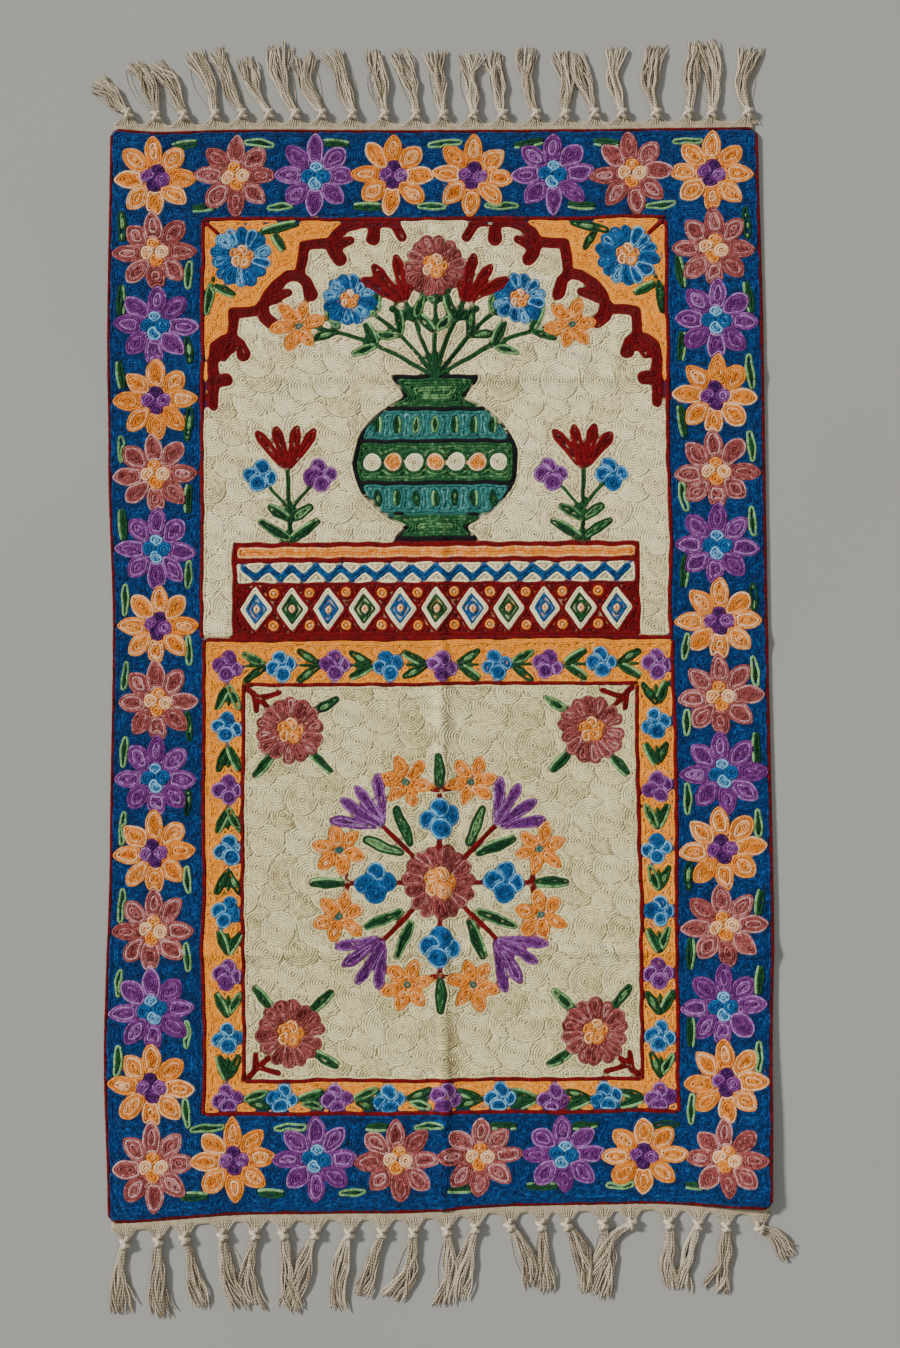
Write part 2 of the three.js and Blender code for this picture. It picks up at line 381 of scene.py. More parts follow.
# Which sides of a grid cell a level crosses, by which of its corners lie above the level: 1 stands
# for the low left corner, 2 for the low right one, 4 for the high right and 8 for the high left
CELL_CUTS = {
    1: (("left", "low"),), 2: (("low", "right"),), 3: (("left", "right"),),
    4: (("right", "high"),), 5: (("left", "low"), ("right", "high")), 6: (("low", "high"),),
    7: (("left", "high"),), 8: (("high", "left"),), 9: (("low", "high"),),
    10: (("low", "right"), ("high", "left")), 11: (("right", "high"),), 12: (("left", "right"),),
    13: (("low", "right"),), 14: (("left", "low"),),
}


def level_cuts(field, level):
    """Where a level crosses the grid's edges, and the pairs of those places that a cell joins."""
    above = field > level
    code = (above[:-1, :-1] + 2 * above[:-1, 1:] + 4 * above[1:, 1:] + 8 * above[1:, :-1]).astype(int)
    lines, columns = np.nonzero((code > 0) & (code < 15))
    kinds = code[lines, columns]
    width = field.shape[1]
    start = lines * width + columns
    # The edge from a grid point along its line has an even number, and the one to the next line an
    # odd one
    side = {"low": 2 * start, "high": 2 * (start + width),
            "left": 2 * start + 1, "right": 2 * (start + 1) + 1}
    pairs = [np.column_stack((side[one], side[other]))[kinds == kind]
             for kind, cuts in CELL_CUTS.items() for one, other in cuts]
    edges, ends = np.unique(np.concatenate(pairs), return_inverse=True)
    upright, corner = edges % 2, edges // 2
    line, column = corner // width, corner % width
    near = field[line, column]
    far = field[line + upright, column + 1 - upright]
    part = np.clip((level - near) / (far - near), 0.02, 0.98)
    places = np.column_stack((column + part * (1 - upright), line + part * upright))
    return places, ends.reshape(-1, 2).tolist()


def level_lines(field, level):
    """The lines along which a grid of values passes through a level, in grid units (column, line)."""
    places, ends = level_cuts(field, level)
    joined = [[] for _ in places]
    for cut, (one, other) in enumerate(ends):
        joined[one].append(cut)
        joined[other].append(cut)
    used = bytearray(len(ends))
    loose = [i for i, cuts in enumerate(joined) if len(cuts) == 1]
    for begin in loose + list(range(len(joined))):
        if all(used[cut] for cut in joined[begin]):
            continue
        chain, here = [begin], begin
        while True:
            onward = [cut for cut in joined[here] if not used[cut]]
            if not onward:
                break
            used[onward[0]] = 1
            one, other = ends[onward[0]]
            here = other if here == one else one
            chain.append(here)
        closed = chain[0] == chain[-1] and len(chain) > 3
        yield places[chain[:-1] if closed else chain], closed


def softened(points, closed, times=2):
    """A line with its grid steps smoothed out."""
    for _ in range(times):
        if closed:
            points = (np.roll(points, 1, 0) + 2 * points + np.roll(points, -1, 0)) / 4
        elif len(points) > 2:
            inner = (points[:-2] + 2 * points[1:-1] + points[2:]) / 4
            points = np.concatenate((points[:1], inner, points[-1:]))
    return points


def stepped(points, closed, step):
    """The same line with even steps, and the distance along it of each point."""
    path = np.concatenate((points, points[:1])) if closed else points
    along = np.concatenate(([0], np.cumsum(np.hypot(*np.diff(path, axis=0).T))))
    count = max(2, int(round(along[-1] / step)))
    places = np.linspace(0, along[-1], count + 1)
    places = places[:-1] if closed else places
    return np.column_stack([np.interp(places, along, path[:, i]) for i in (0, 1)]), places


def length_of(points):
    """How long a line is."""
    return np.hypot(*np.diff(points, axis=0).T).sum()


def follow_outlines(plan):
    """Rows that follow the outline of each motif, from its edge inwards."""
    pitch, coiled = plan.pitch_and_coil()
    field = plan.depth / pitch
    # In the cream ground the rows end where the rosettes begin
    last = ECHO_ROWS + 0.4
    field[coiled & (field > last)] = last
    for number in range(int(field.max() - 0.5) + 1):
        for places, closed in level_lines(field, number + 0.5):
            points = softened(plan.points_of(places), closed)
            if length_of(points) < SHORTEST:
                continue
            probe = points[:: max(1, len(points) // 7)]
            owners = plan.region[plan.index(*probe.T)]
            region = plan.regions[np.bincount(owners[owners >= 0]).argmax()]
            tone = region.tones[min(number, len(region.tones) - 1)]
            plan.rows.append(Row(points, closed, region.wool, tone, region.pitch))


def fill_ridges(plan):
    """Short rows along the middle of what the outline rows leave open."""
    pitch, coiled = plan.pitch_and_coil()
    field = plan.depth / pitch
    uphill_y, uphill_x = np.gradient(plan.depth)
    for level in range(1, int(field.max()) + 1):
        for places, _ in level_lines(field, float(level)):
            points = softened(plan.points_of(places), False)
            index = plan.index(*points.T)
            uphill = np.column_stack((uphill_x[index], uphill_y[index]))
            uphill /= np.maximum(np.hypot(*uphill.T), 0.2)[:, None]
            region = plan.region[index]
            # Half a row further in, a narrow place is hardly any deeper
            beyond = points + uphill * pitch[index][:, None] * 0.5
            narrow = field[plan.index(*beyond.T)] < level + 0.38
            # The line runs up one side of the ridge and down the other, and one side is enough
            one_side = uphill @ (0.92, 0.38) > -0.1
            open_ground = ~coiled[index] | (level <= ECHO_ROWS)
            on = narrow & one_side & open_ground & (region >= 0)
            for begin, end in runs(on):
                run = points[begin:end] + uphill[begin:end] * 0.5
                if len(run) < 3 or length_of(run) < STITCH:
                    continue
                owner = plan.regions[region[(begin + end) // 2]]
                tone = owner.tones[min(level, len(owner.tones) - 1)]
                plan.rows.append(Row(softened(run, False), False, owner.wool, tone, owner.pitch))


def any_room(plan, room, x, y, reach):
    """Whether any of the room is within reach of a point."""
    return room[plan.window(x - reach, x + reach, y - reach, y + reach)].any()


# The cream ground's rosettes
ROSETTE = 31.0              # from centre to centre
# As shares of that: from one line of rosettes to the next, how far each is moved from its even place,
# its least and largest radius, and the radius that its last turns may go to
ROSETTE_LINE = 0.87
ROSETTE_SHIFT = 0.27
ROSETTE_RADII = (0.42, 0.68)
COIL_REACH = 1.35
CLAIM = 60                  # how far from its centre a rosette can lie
LEAST_ROOM = 14             # a rosette is left out where nothing is free this near its centre


def rosette_centres(plan, room):
    """Each rosette's centre and radius, in uneven lines like laid bricks."""
    for y in np.arange(-LENGTH / 2, LENGTH / 2, ROSETTE * ROSETTE_LINE):
        for x in np.arange(-WIDTH / 2, WIDTH / 2, ROSETTE):
            shift = rng.uniform(-ROSETTE_SHIFT, ROSETTE_SHIFT, 2) * ROSETTE
            offset = ROSETTE / 2 if round(y / (ROSETTE * ROSETTE_LINE)) % 2 else 0
            centre = (x + offset + shift[0], y + shift[1])
            radius = rng.uniform(*ROSETTE_RADII) * ROSETTE
            if any_room(plan, room, *centre, LEAST_ROOM):
                yield *centre, radius


def coil_rosettes(plan):
    """Fills what is left of the coiled regions with spirals, each cut off where its neighbours lie."""
    room = plan.pitch_and_coil()[1] & (plan.depth > (ECHO_ROWS - 0.3) * ROW_PITCH)
    centres = list(rosette_centres(plan, room))
    owner = np.full(plan.x.shape, -1, np.int32)
    claim = np.full(plan.x.shape, np.inf)
    for number, (x, y, radius) in enumerate(centres):
        window = plan.window(x - CLAIM, x + CLAIM, y - CLAIM, y + CLAIM)
        away = np.hypot(plan.x[window] - x, plan.y[window] - y) - radius
        # A later rosette lies over an earlier one, and outside all of them the nearest goes on
        taken = np.where(away < 0, -number - 1.0, away)
        nearer = taken < claim[window]
        claim[window][nearer] = taken[nearer]
        owner[window][nearer] = number
    for number, (x, y, radius) in enumerate(centres):
        # A spiral in steps of one millimetre: its angle grows with the root of its length
        length = np.arange(0, math.pi * (COIL_REACH * ROSETTE)**2 / ROW_PITCH)
        angle = np.sqrt(4 * math.pi * length / ROW_PITCH + 2)
        reach = ROW_PITCH * angle / (2 * math.pi)
        lumpy = 1 + rng.uniform(0.02, 0.07) * np.sin(2 * angle + number) * np.minimum(1, reach / 9)
        hand = 1 if number % 3 else -1
        points = np.column_stack((x + reach * lumpy * np.cos(hand * angle + number),
                                  y + reach * lumpy * np.sin(hand * angle + number)))
        index = plan.index(*points.T)
        for begin, end in runs(room[index] & (owner[index] == number)):
            end = min(end + 1, len(points))
            if end - begin > SHORTEST:
                middle = (begin + end) // 2
                region = plan.regions[plan.region[index[0][middle], index[1][middle]]]
                tone = region.tones[number % len(region.tones)]
                plan.rows.append(Row(points[begin:end], False, region.wool, tone, ROW_PITCH))


# Motifs. A wool's tone goes from 0, its dark shade, through 0.5 to 1, its pale shade
CREAM_TONES = (0.35, 0.55, 0.6, 0.5)
PETAL_TONES = ((0.8, 0.45, 0.35, 0.4), (0.5, 0.8, 0.35, 0.3), (0.45, 0.35, 0.6, 0.35),
               (0.75, 0.4, 0.7, 0.35), (0.5, 0.35, 0.8, 0.6), (0.55, 0.8, 0.4, 0.6))
STAR_TONES = ((0.48, 0.6, 0.42), (0.6, 0.4, 0.5), (0.42, 0.6, 0.45), (0.5, 0.42, 0.72))
DAISY_TONES = {
    "rose": ((0.6, 0.3, 0.2), (0.35, 0.5, 0.3), (0.3, 0.45, 0.2), (0.4, 0.7, 0.6), (0.55, 0.25, 0.3),
             (0.35, 0.6, 0.4), (0.3, 0.2, 0.2)),
    "sky": ((0.8, 0.3, 0.2), (0.35, 0.2, 0.15), (0.3, 0.4, 0.2), (0.7, 0.85, 0.8), (0.65, 0.25, 0.3),
            (0.4, 0.65, 0.4), (0.35, 0.25, 0.2)),
}
LEAF_TONES = ((0.78, 0.15), (0.2, 0.78), (0.22, 0.72), (0.2, 0.5), (0.72, 0.2))
BAR_TONES = ((0.9, 0.15), (0.85, 0.2), (0.9, 0.3), (0.2, 0.85))
LOBE_TONES = ((0.85, 0.4, 0.25), (0.5, 0.3, 0.2), (0.8, 0.3, 0.3), (0.75, 0.45, 0.2))
FINGER_TONES = ((0.72, 0.35, 0.2), (0.6, 0.25, 0.35), (0.68, 0.45, 0.2), (0.45, 0.7, 0.3))

# Round flowers' hearts: each lobe's wool and tones, in turn
ROSE_HEART = (("orange", (0.45, 0.65)), ("orange", (0.8, 0.55)))
CORNER_HEART = (("orange", (0.5, 0.9)), ("orange", (0.9, 0.5)))
BOUQUET_HEART = (("orange", (0.5, 0.6)), ("orange", (0.9, 0.8)))
STEM, FRAME_STEM, THIN_STEM = 4.4, 4.0, 2.8     # widths of drawn stems
# A star flower's petals: how far each reaches as a share of the flower, its half width, and how
# blunt its tip is
STAR_SIZE = 45.5
POINTED, BROAD = (1.0, 9.6, 0.1), (0.95, 10.6, 0.3)
STAR_HALF = 7.3             # half width of a small star's petals
FINGER_HALF = 6.0           # and of a tulip's fingers
# A tulip's fingers: how many degrees each leans out, and how far aside it starts
FINGERS = ((-36, -5), (36, 5), (-12, -2), (12, 2))


def turned(x, y, angle, radius):
    """The point radius away from (x, y), at an angle in degrees."""
    return x + radius * math.cos(math.radians(angle)), y + radius * math.sin(math.radians(angle))


def pick(options):
    """One of the options, by chance."""
    return options[int(rng.integers(len(options)))]


def lobes(plan, x, y, wools, offset, radius, count=4, turn=0.0):
    """A clover of round lobes, worked as small coils."""
    for i in range(count):
        centre = turned(x, y, turn + 360 / count * i, offset)
        wool, tones = wools[i % len(wools)]
        plan.fill(disc(*centre, radius), wool, tones, half=radius)


def petal(x, y, angle, start, reach, half, belly, blunt):
    """A petal between two distances from (x, y). belly is the share of its length at which it is
    widest. blunt goes from 0, a point, to 1, a round end."""
    middle = start + (reach - start) * belly
    tip_half = 0.62 * half * blunt
    return united([
        drop(turned(x, y, angle, start), turned(x, y, angle, middle), half * 0.6, half),
        lens(turned(x, y, angle, 2 * middle - reach), turned(x, y, angle, reach), half),
        drop(turned(x, y, angle, middle), turned(x, y, angle, reach - tip_half), half * 0.86,
             tip_half)])


def star_flower(plan, x, y, wool, hearts):
    """The border's flower: four pointed and four broader petals round a four-lobed heart."""
    x, y = x + rng.uniform(-1.5, 1.5), y + rng.uniform(-1.5, 1.5)
    turn = rng.uniform(-4, 4)
    for i in (1, 3, 5, 7, 0, 2, 4, 6):
        angle = 45 * i + turn + rng.uniform(-3.5, 3.5)
        share, half, blunt = BROAD if i % 2 else POINTED
        reach = STAR_SIZE * share * rng.uniform(0.96, 1.03)
        half *= rng.uniform(0.94, 1.06)
        shape = petal(x, y, angle, 8, reach, half, rng.uniform(0.47, 0.6), blunt)
        plan.fill(shape, wool, pick(PETAL_TONES), half=half)
    lobes(plan, x, y, hearts, 8.0, 7.4, turn=90 + turn + rng.uniform(-12, 12))


def daisy(plan, x, y, wool, hearts, size, petals, heart):
    """A round flower of many blunt petals."""
    turn = rng.uniform(0, 20)
    sine = math.sin(math.pi / petals)
    for i in range(petals):
        angle = turn + 360 / petals * i + rng.uniform(-3, 3)
        half = size * sine / (1 + sine) * rng.uniform(0.9, 1.2)
        reach = size * rng.uniform(0.94, 1.03)
        shape = petal(x, y, angle, heart * 0.8, reach, half, 0.75, 1)
        plan.fill(shape, wool, pick(DAISY_TONES[wool]), half=half)
    lobes(plan, x, y, hearts, heart * 0.55, heart * 0.52, count=5, turn=turn)


def blossom(plan, x, y, wool, size=16.5):
    """A small clover of four lobes."""
    turn = rng.uniform(-16, 16)
    for i in range(4):
        radius = size * rng.uniform(0.46, 0.53)
        centre = turned(x, y, turn + 90 * i + rng.uniform(-9, 9), size - radius)
        plan.fill(disc(*centre, radius), wool, pick(LOBE_TONES), half=radius)


def star(plan, x, y, wool, eye, size=29.0, turn=0.0):
    """Six narrow petals round a small eye."""
    for i in range(6):
        angle = turn + 60 * i + rng.uniform(-5, 5)
        half = STAR_HALF * rng.uniform(0.92, 1.08)
        reach = size * rng.uniform(0.9, 1.05)
        shape = petal(x, y, angle, 1, reach, half, rng.uniform(0.5, 0.62), rng.uniform(0.3, 0.8))
        plan.fill(shape, wool, pick(STAR_TONES), half=half)
    plan.fill(disc(x, y, 3.7), eye, (0.4,), half=3.7)


def leaf(plan, start, end, half=5.0, tones=LEAF_TONES):
    """A long blunt leaf in two greens: mostly a row of one shade right round the other, or else a
    dark leaf with a pale row down one side."""
    reach = math.hypot(end[0] - start[0], end[1] - start[1])
    angle = math.degrees(math.atan2(end[1] - start[1], end[0] - start[0]))
    foot, tip = half * rng.uniform(0.55, 0.75), half * rng.uniform(0.55, 0.75)
    middle = turned(*start, angle, reach * rng.uniform(0.4, 0.6))
    shape = united([drop(turned(*start, angle, foot), middle, foot, half),
                    drop(middle, turned(*start, angle, reach - tip), half, tip)])
    side = pick((0, 0, 0, 1, -1))
    plan.fill(shape, "green", (0.3, 0.15) if side else pick(tones), half=half)
    if side:
        edge = []
        for t in np.linspace(0.05, 0.95, 9):
            aside = side * (half - 1.3) * math.sin(math.pi * (0.17 + 0.66 * t))
            edge.append(turned(*turned(*start, angle, reach * t), angle + 90, aside))
        plan.line(edge, "green", rng.uniform(0.8, 0.95), width=2.9)


def tulip(plan, x, y, angle, wool, reach=47.0):
    """Four blunt fingers fanned out of one foot."""
    for spread, aside in FINGERS:
        foot = turned(x, y, angle + 90, aside)
        far = reach * rng.uniform(0.93, 1.04)
        shape = petal(*foot, angle + spread + rng.uniform(-3, 3), -1, far, FINGER_HALF, 0.75, 0.95)
        plan.fill(shape, wool, pick(FINGER_TONES), half=FINGER_HALF)


def wavering(points, amount=0.9, step=45.0):
    """A straight-sided line as a hand draws it."""
    path, _ = stepped(np.array(points, float), False, step)
    inner = path[1:-1]
    inner += rng.normal(0, amount, inner.shape)
    fine, _ = stepped(path, False, 6)
    return [tuple(point) for point in softened(fine, False, 6)]


def frame_line(plan, corners, waver=0.9, tone=0.35, width=3.7):
    """A closed dark red line through the corners, one side at a time."""
    for a, b in zip(corners, corners[1:] + corners[:1]):
        plan.line(wavering((a, b), waver), "red", tone, width)


FLOWERS = {
    "O": ("orange", (("purple", (0.1, 0.0)), ("purple", (0.6, 0.5)), ("purple", (0.15, 0.1)),
                     ("purple", (0.55, 0.65)))),
    "R": ("rose", (("orange", (0.5, 0.6)), ("orange", (0.95, 0.8)), ("orange", (0.5, 0.4)),
                   ("orange", (0.9, 1.0)))),
    "P": ("purple", (("sky", (0.9, 0.8)), ("sky", (0.35, 0.3)), ("sky", (0.95, 0.7)),
                     ("sky", (0.3, 0.4)))),
}
COLUMN_X = 293              # centre line of the border's long sides
COLUMN_TOP, COLUMN_FOOT = 515, -512     # heights of their first and last flowers
ROW_TOP, ROW_FOOT = 516, -509           # heights of the flowers across the mat
COLUMN_FLOWERS = "ORPORPORPORPOR"       # letters of FLOWERS, from the niche end to the foot
TOP_FLOWERS = "RPOOPR"
FOOT_FLOWERS = "OPRRPO"
BAR_OUT, BAR_ALONG = 35, 26 # a bar's place from the next flower of its column
BAR_HALF, BAR_LENGTH = 5.0, 35
BAR_ROWS = (                # each row's height on the mat, and the bars' places across it
    (550, (-263, -186, -104, 12, 100, 182, 268)),
    (482, (-241, -162, -69, -2, 71, 155, 238)),
    (-475, (-237, -152, -62, -11, 63, 146, 229)),
    (-543, (-253, -172, -89, 24, 104, 187, 264)),
)
# Left, right, low and high side of each field
NICHE = (-243.5, 243.5, 26, 469)
BAND_OUTER = (-241, 245, -461, 25)
BAND_INNER = (-200, 208, -428, -22)
BAND_LINE = (-216, 227, -447, -2)       # through the middle of the band's blossoms
BAND_ACROSS = "PSPSPSPSP"   # the blossoms' wools along the band's short sides, purple or sky
BAND_ALONG = "PSPSSPSP"     # and down its long ones
ROOM_TOP, ROOM_FOOT, ROOM_SIDE = 22, 14, 17     # room for leaves on each side of that line
PAIR_REACH, PAIR_HALF = 29, 4.9         # the leaves of a pair
MEDALLION = (2, -227)
MEDALLION_STEM = 4.6        # width of its red stems
# How far from its centre its parts begin or stand
STEM_OUT, FORK_OUT, TWIG_OUT, DIAGONAL_OUT = 34, 95, 104, 90
BLOSSOM_OUT, STAR_OUT, TULIP_OUT, LEAF_OUT = 66, 109, 87, 47
SPRAY = 48                  # a corner flower's place from both sides of its corner


def border_places():
    """Each border flower: its place and its letter."""
    rows = len(COLUMN_FLOWERS) - 1
    for i, letter in enumerate(COLUMN_FLOWERS):
        y = COLUMN_TOP + (COLUMN_FOOT - COLUMN_TOP) * i / rows
        for side in (-1, 1):
            yield side * COLUMN_X, y, letter
    for y, letters in ((ROW_TOP, TOP_FLOWERS), (ROW_FOOT, FOOT_FLOWERS)):
        for i, letter in enumerate(letters):
            yield COLUMN_X * (2 * (i + 1) / (len(letters) + 1) - 1), y, letter


def border(plan):
    """The blue border with its flowers, and the green bars tucked between them."""
    places = list(border_places())
    bars = [(x, y, 0) for y, row in BAR_ROWS for x in row]
    for x, y, _ in places:
        if abs(x) == COLUMN_X and COLUMN_FOOT < y < COLUMN_TOP:
            out = math.copysign(BAR_OUT, x)
            bars += [(x + out, y + BAR_ALONG, 90), (x - out, y - BAR_ALONG, 90)]
    for x, y, lie in bars:
        lie += rng.uniform(-9, 9)
        reach = BAR_LENGTH / 2 * rng.uniform(0.85, 1.1)
        leaf(plan, turned(x, y, lie + 180, reach), turned(x, y, lie, reach), BAR_HALF, BAR_TONES)
    for x, y, letter in places:
        star_flower(plan, x, y, *FLOWERS[letter])


# The cusped arch, left half: three scrolled lobes, each with its barbs and its step up to the next
Lobe = namedtuple("Lobe", "spine barb leaf step")
ARCH_LOBES = (
    Lobe(spine=((-231, 295), (-233, 317), (-230, 333), (-221, 340), (-212, 342), (-204, 336), (-201, 325)),
         barb=((-231, 297), (-219, 298)),
         leaf=((-214, 335), (-221, 322)),
         step=((-213, 343), (-211, 369), (-188, 371), (-181, 375))),
    Lobe(spine=((-181, 375), (-175, 388), (-166, 399), (-154, 408), (-142, 409), (-134, 402), (-130, 388)),
         barb=((-181, 375), (-178, 364), (-170, 357)),
         leaf=((-171, 385), (-154, 390)),
         step=((-141, 410), (-137, 441), (-112, 443), (-109, 443))),
    Lobe(spine=((-109, 443), (-103, 453), (-93, 461), (-78, 465), (-66, 465), (-63, 458), (-64, 447)),
         barb=((-108, 443), (-104, 432), (-99, 425)),
         leaf=((-104, 440), (-88, 446)),
         step=((-76, 467), (-43, 464), (-34, 449))),
)
ARCH_FOOT = ((-232, 296), (-232, 271))
ARCH_SIDE = (293, 270)      # from and to this height the scroll runs down along the niche's side
ARCH_TOP = (-76, -40)       # and between these places along its top
# Half widths of the scroll, of its steps, of a curl's end, of a barb, and of a leaf at both its ends
ARCH_HALF = 5.9
STEP_HALF = ARCH_HALF - 0.5
CURL_HALF = ARCH_HALF + 1.4
BARB_HALF = ARCH_HALF + 1.2
ARCH_LEAF_HALF = (7.6, 4.6)
FOOT_HALF, SIDE_HALF, TOP_HALF = 5.2, 3.4, 4.0


def mirrored(points, side):
    """Points given for the left side, for side -1 or 1."""
    return [(-side * x, y) for x, y in points]


def arch(plan):
    """The cream field under a cusped arch, and the arch's dark red scroll with its barbs."""
    left, right, low, high = NICHE
    edge = [(left, low), (left, ARCH_FOOT[1][1]), ARCH_FOOT[0]]
    for lobe in ARCH_LOBES:
        edge += list(lobe.spine[1:5]) + list(lobe.step[1:-1])
    edge[-1] = (ARCH_LOBES[-1].step[1][0], high)
    whole = edge + [(-x, y) for x, y in edge[::-1]]
    plan.fill(outlined(whole), "cream", CREAM_TONES, coiled=True)
    for side in (-1, 1):
        down = [(left, y) for y in ARCH_SIDE]
        along = [(x, high - 2) for x in ARCH_TOP]
        strokes = [stroke(mirrored(ARCH_FOOT, side), FOOT_HALF),
                   stroke(mirrored(down, side), SIDE_HALF),
                   stroke(mirrored(along, side), TOP_HALF)]
        for lobe in ARCH_LOBES:
            strokes += [stroke(mirrored(lobe.spine, side), ARCH_HALF),
                        stroke(mirrored(lobe.step, side), STEP_HALF),
                        drop(*mirrored(lobe.spine[-2:], side), ARCH_HALF, CURL_HALF),
                        stroke(mirrored(lobe.barb, side), BARB_HALF),
                        drop(*mirrored(lobe.leaf, side), *ARCH_LEAF_HALF)]
        plan.fill(united(strokes), "red", (0.45, 0.3), half=ARCH_HALF)


def spandrel(plan, side):
    """A blue flower with two sprigs in the corner over the arch."""
    def at(x, y):
        return -side * x, y
    plan.line([at(-241, 466), at(-222, 449)], "red", 0.4, width=FRAME_STEM)
    for stem in (((-186, 452), (-170, 456)), ((-232, 408), (-234, 396))):
        plan.line([at(*point) for point in stem], "green", 0.3)
    for start, end in (((-183, 455), (-142, 465)), ((-170, 455), (-157, 434)),
                       ((-234, 402), (-240, 366)), ((-233, 399), (-209, 387))):
        leaf(plan, at(*start), at(*end))
    daisy(plan, *at(-203, 429), "sky", CORNER_HEART, size=33, petals=14, heart=12)


def band(plan):
    """The orange band round the lower field, with its run of blossoms and leaf pairs."""
    x0, x1, y0, y1 = BAND_LINE
    across, along = len(BAND_ACROSS) - 1, len(BAND_ALONG) - 1
    pitch_x, pitch_y = (x1 - x0) / across, (y1 - y0) / along
    places = [(x0 + pitch_x * i, y, letter) for i, letter in enumerate(BAND_ACROSS) for y in (y1, y0)]
    places += [(x, y1 - pitch_y * i, BAND_ALONG[i]) for i in range(1, along) for x in (x0, x1)]
    for i in range(across):
        x = x0 + pitch_x * (i + 0.5)
        for y, room in ((y1, ROOM_TOP), (y0, ROOM_FOOT)):
            leaf_pair(plan, x, y, 180 if (x < (x0 + x1) / 2) == (y == y1) else 0, room)
    for i in range(along):
        y = y1 - pitch_y * (i + 0.5)
        for x in (x0, x1):
            leaf_pair(plan, x, y, -90 if x == x0 and i < along / 2 else 90, ROOM_SIDE)
    for x, y, letter in places:
        wool = "purple" if letter == "P" else "sky"
        blossom(plan, x + rng.uniform(-1.5, 1.5), y + rng.uniform(-1.5, 1.5), wool)


def leaf_pair(plan, x, y, toward, room):
    """Two leaves that open towards an angle, on a thin stem, with room to each side of it."""
    opening = min(31, math.degrees(math.asin((room - PAIR_HALF) / PAIR_REACH)))
    foot = turned(x, y, toward + 180, 12)
    plan.line([foot, turned(x, y, toward, 10)], "green", 0.3, width=THIN_STEM)
    for spread in (-opening, opening):
        tip = turned(*foot, toward + spread + rng.uniform(-4, 4), PAIR_REACH)
        leaf(plan, foot, tip, PAIR_HALF)


def corner_spray(plan, side_x, side_y):
    """A rose in a corner of the lower field, with three leaves and a forked twig."""
    x0, x1, y0, y1 = BAND_INNER
    corner = (x0 if side_x < 0 else x1, y0 if side_y < 0 else y1)

    def at(x, y):
        return corner[0] - side_x * x, corner[1] - side_y * y
    twig = [((2, 2), (31, 29)), ((16, 14), (37, 8)), ((11, 9), (13, 27))]
    plan.fill(united([stroke([at(*a), at(*b)], 2.7) for a, b in twig]), "red", (0.4,), half=2.7)
    for a, b in (((70, 30), (98, 14)), ((67, 68), (92, 92)), ((30, 73), (10, 96))):
        leaf(plan, at(*a), at(*b), half=5.4)
    daisy(plan, *at(SPRAY, SPRAY), "rose", ROSE_HEART, size=35, petals=14, heart=13)


def medallion(plan):
    """The lower field's round bouquet: a rose, blossoms, tulips, stars and leaves on red stems."""
    x, y = MEDALLION

    def stem(*points):
        plan.line(points, "red", 0.4, width=MEDALLION_STEM)
    for axis in (0, 90, 180, 270):
        diagonal = axis + 45
        fork = turned(x, y, axis, FORK_OUT)
        stem(turned(x, y, axis, STEM_OUT), fork)
        for spread in (-18, 18):
            stem(fork, turned(x, y, axis + spread, TWIG_OUT))
        stem(turned(x, y, diagonal, STEM_OUT), turned(x, y, diagonal, DIAGONAL_OUT))
        leaf(plan, turned(x, y, axis, 97), turned(x, y, axis, 134), half=6.0)
        for spread in (-7, 7):
            foot = turned(x, y, diagonal + spread, LEAF_OUT)
            leaf(plan, foot, turned(*foot, diagonal + 3.3 * spread, 45), half=6.2)
        for spread in (-18, 18):
            star(plan, *turned(x, y, axis + spread, STAR_OUT), "orange", "teal", turn=axis + spread)
        tulip(plan, *turned(x, y, diagonal, TULIP_OUT), diagonal, "purple")
        blossom(plan, *turned(x, y, axis, BLOSSOM_OUT), "sky", size=21.5)
    daisy(plan, x, y, "rose", ROSE_HEART, size=38, petals=15, heart=16)


FRIEZE = (-212, 212, 29, 126)           # its left, right, low and high side
FRIEZE_EDGE = 5
VASE_FOOT, VASE_MOUTH = 128, 302        # lowest and highest place of the vase
VASE_HALF, VASE_MIDDLE, VASE_RISE = 86, 210, 72     # its oval body: half width, middle, half height
NECK_HALF, LIP_OUT = 30, 16
ANKLE_HALF, FOOT_OUT = 26, 18
VASE_BANDS = (              # each band's lowest and highest place, and its wool
    (132, 154, "green"), (157, 186, "teal"), (190, 230, "green"), (234, 264, "teal"),
    (268, 298, "green"))
# The bouquet's stems: the angle that each leaves the mouth at, and how far it reaches
BOUQUET = ((90, 112), (112, 100), (68, 100), (136, 120), (44, 120), (158, 156), (22, 156))
SHRUB_X = 152               # the small plants' places beside the vase


def vase_half(y):
    """Half the vase's width at a height: an oval body between a spread foot and a flared mouth."""
    body = VASE_HALF * np.sqrt(np.maximum(0, 1 - ((y - VASE_MIDDLE) / VASE_RISE)**2))
    foot = np.where(y < 156, ANKLE_HALF + FOOT_OUT * (1 - smooth((y - VASE_FOOT) / 22)), 0)
    mouth = np.where(y > 262, NECK_HALF + LIP_OUT * smooth((y - VASE_MOUTH + 30) / 30), 0)
    return np.maximum(body, np.maximum(foot, mouth))


def vase_part(low, high, inset=0.0):
    """The vase between two heights."""
    levels = np.linspace(low, high, 2 + int((high - low) / 4))
    halves = vase_half(levels) - inset
    return outlined(list(zip(-halves, levels)) + list(zip(halves[::-1], levels[::-1])))


def diamond(x, y, half_x, half_y):
    """A diamond on its point."""
    return outlined([(x - half_x, y), (x, y + half_y), (x + half_x, y), (x, y - half_y)])


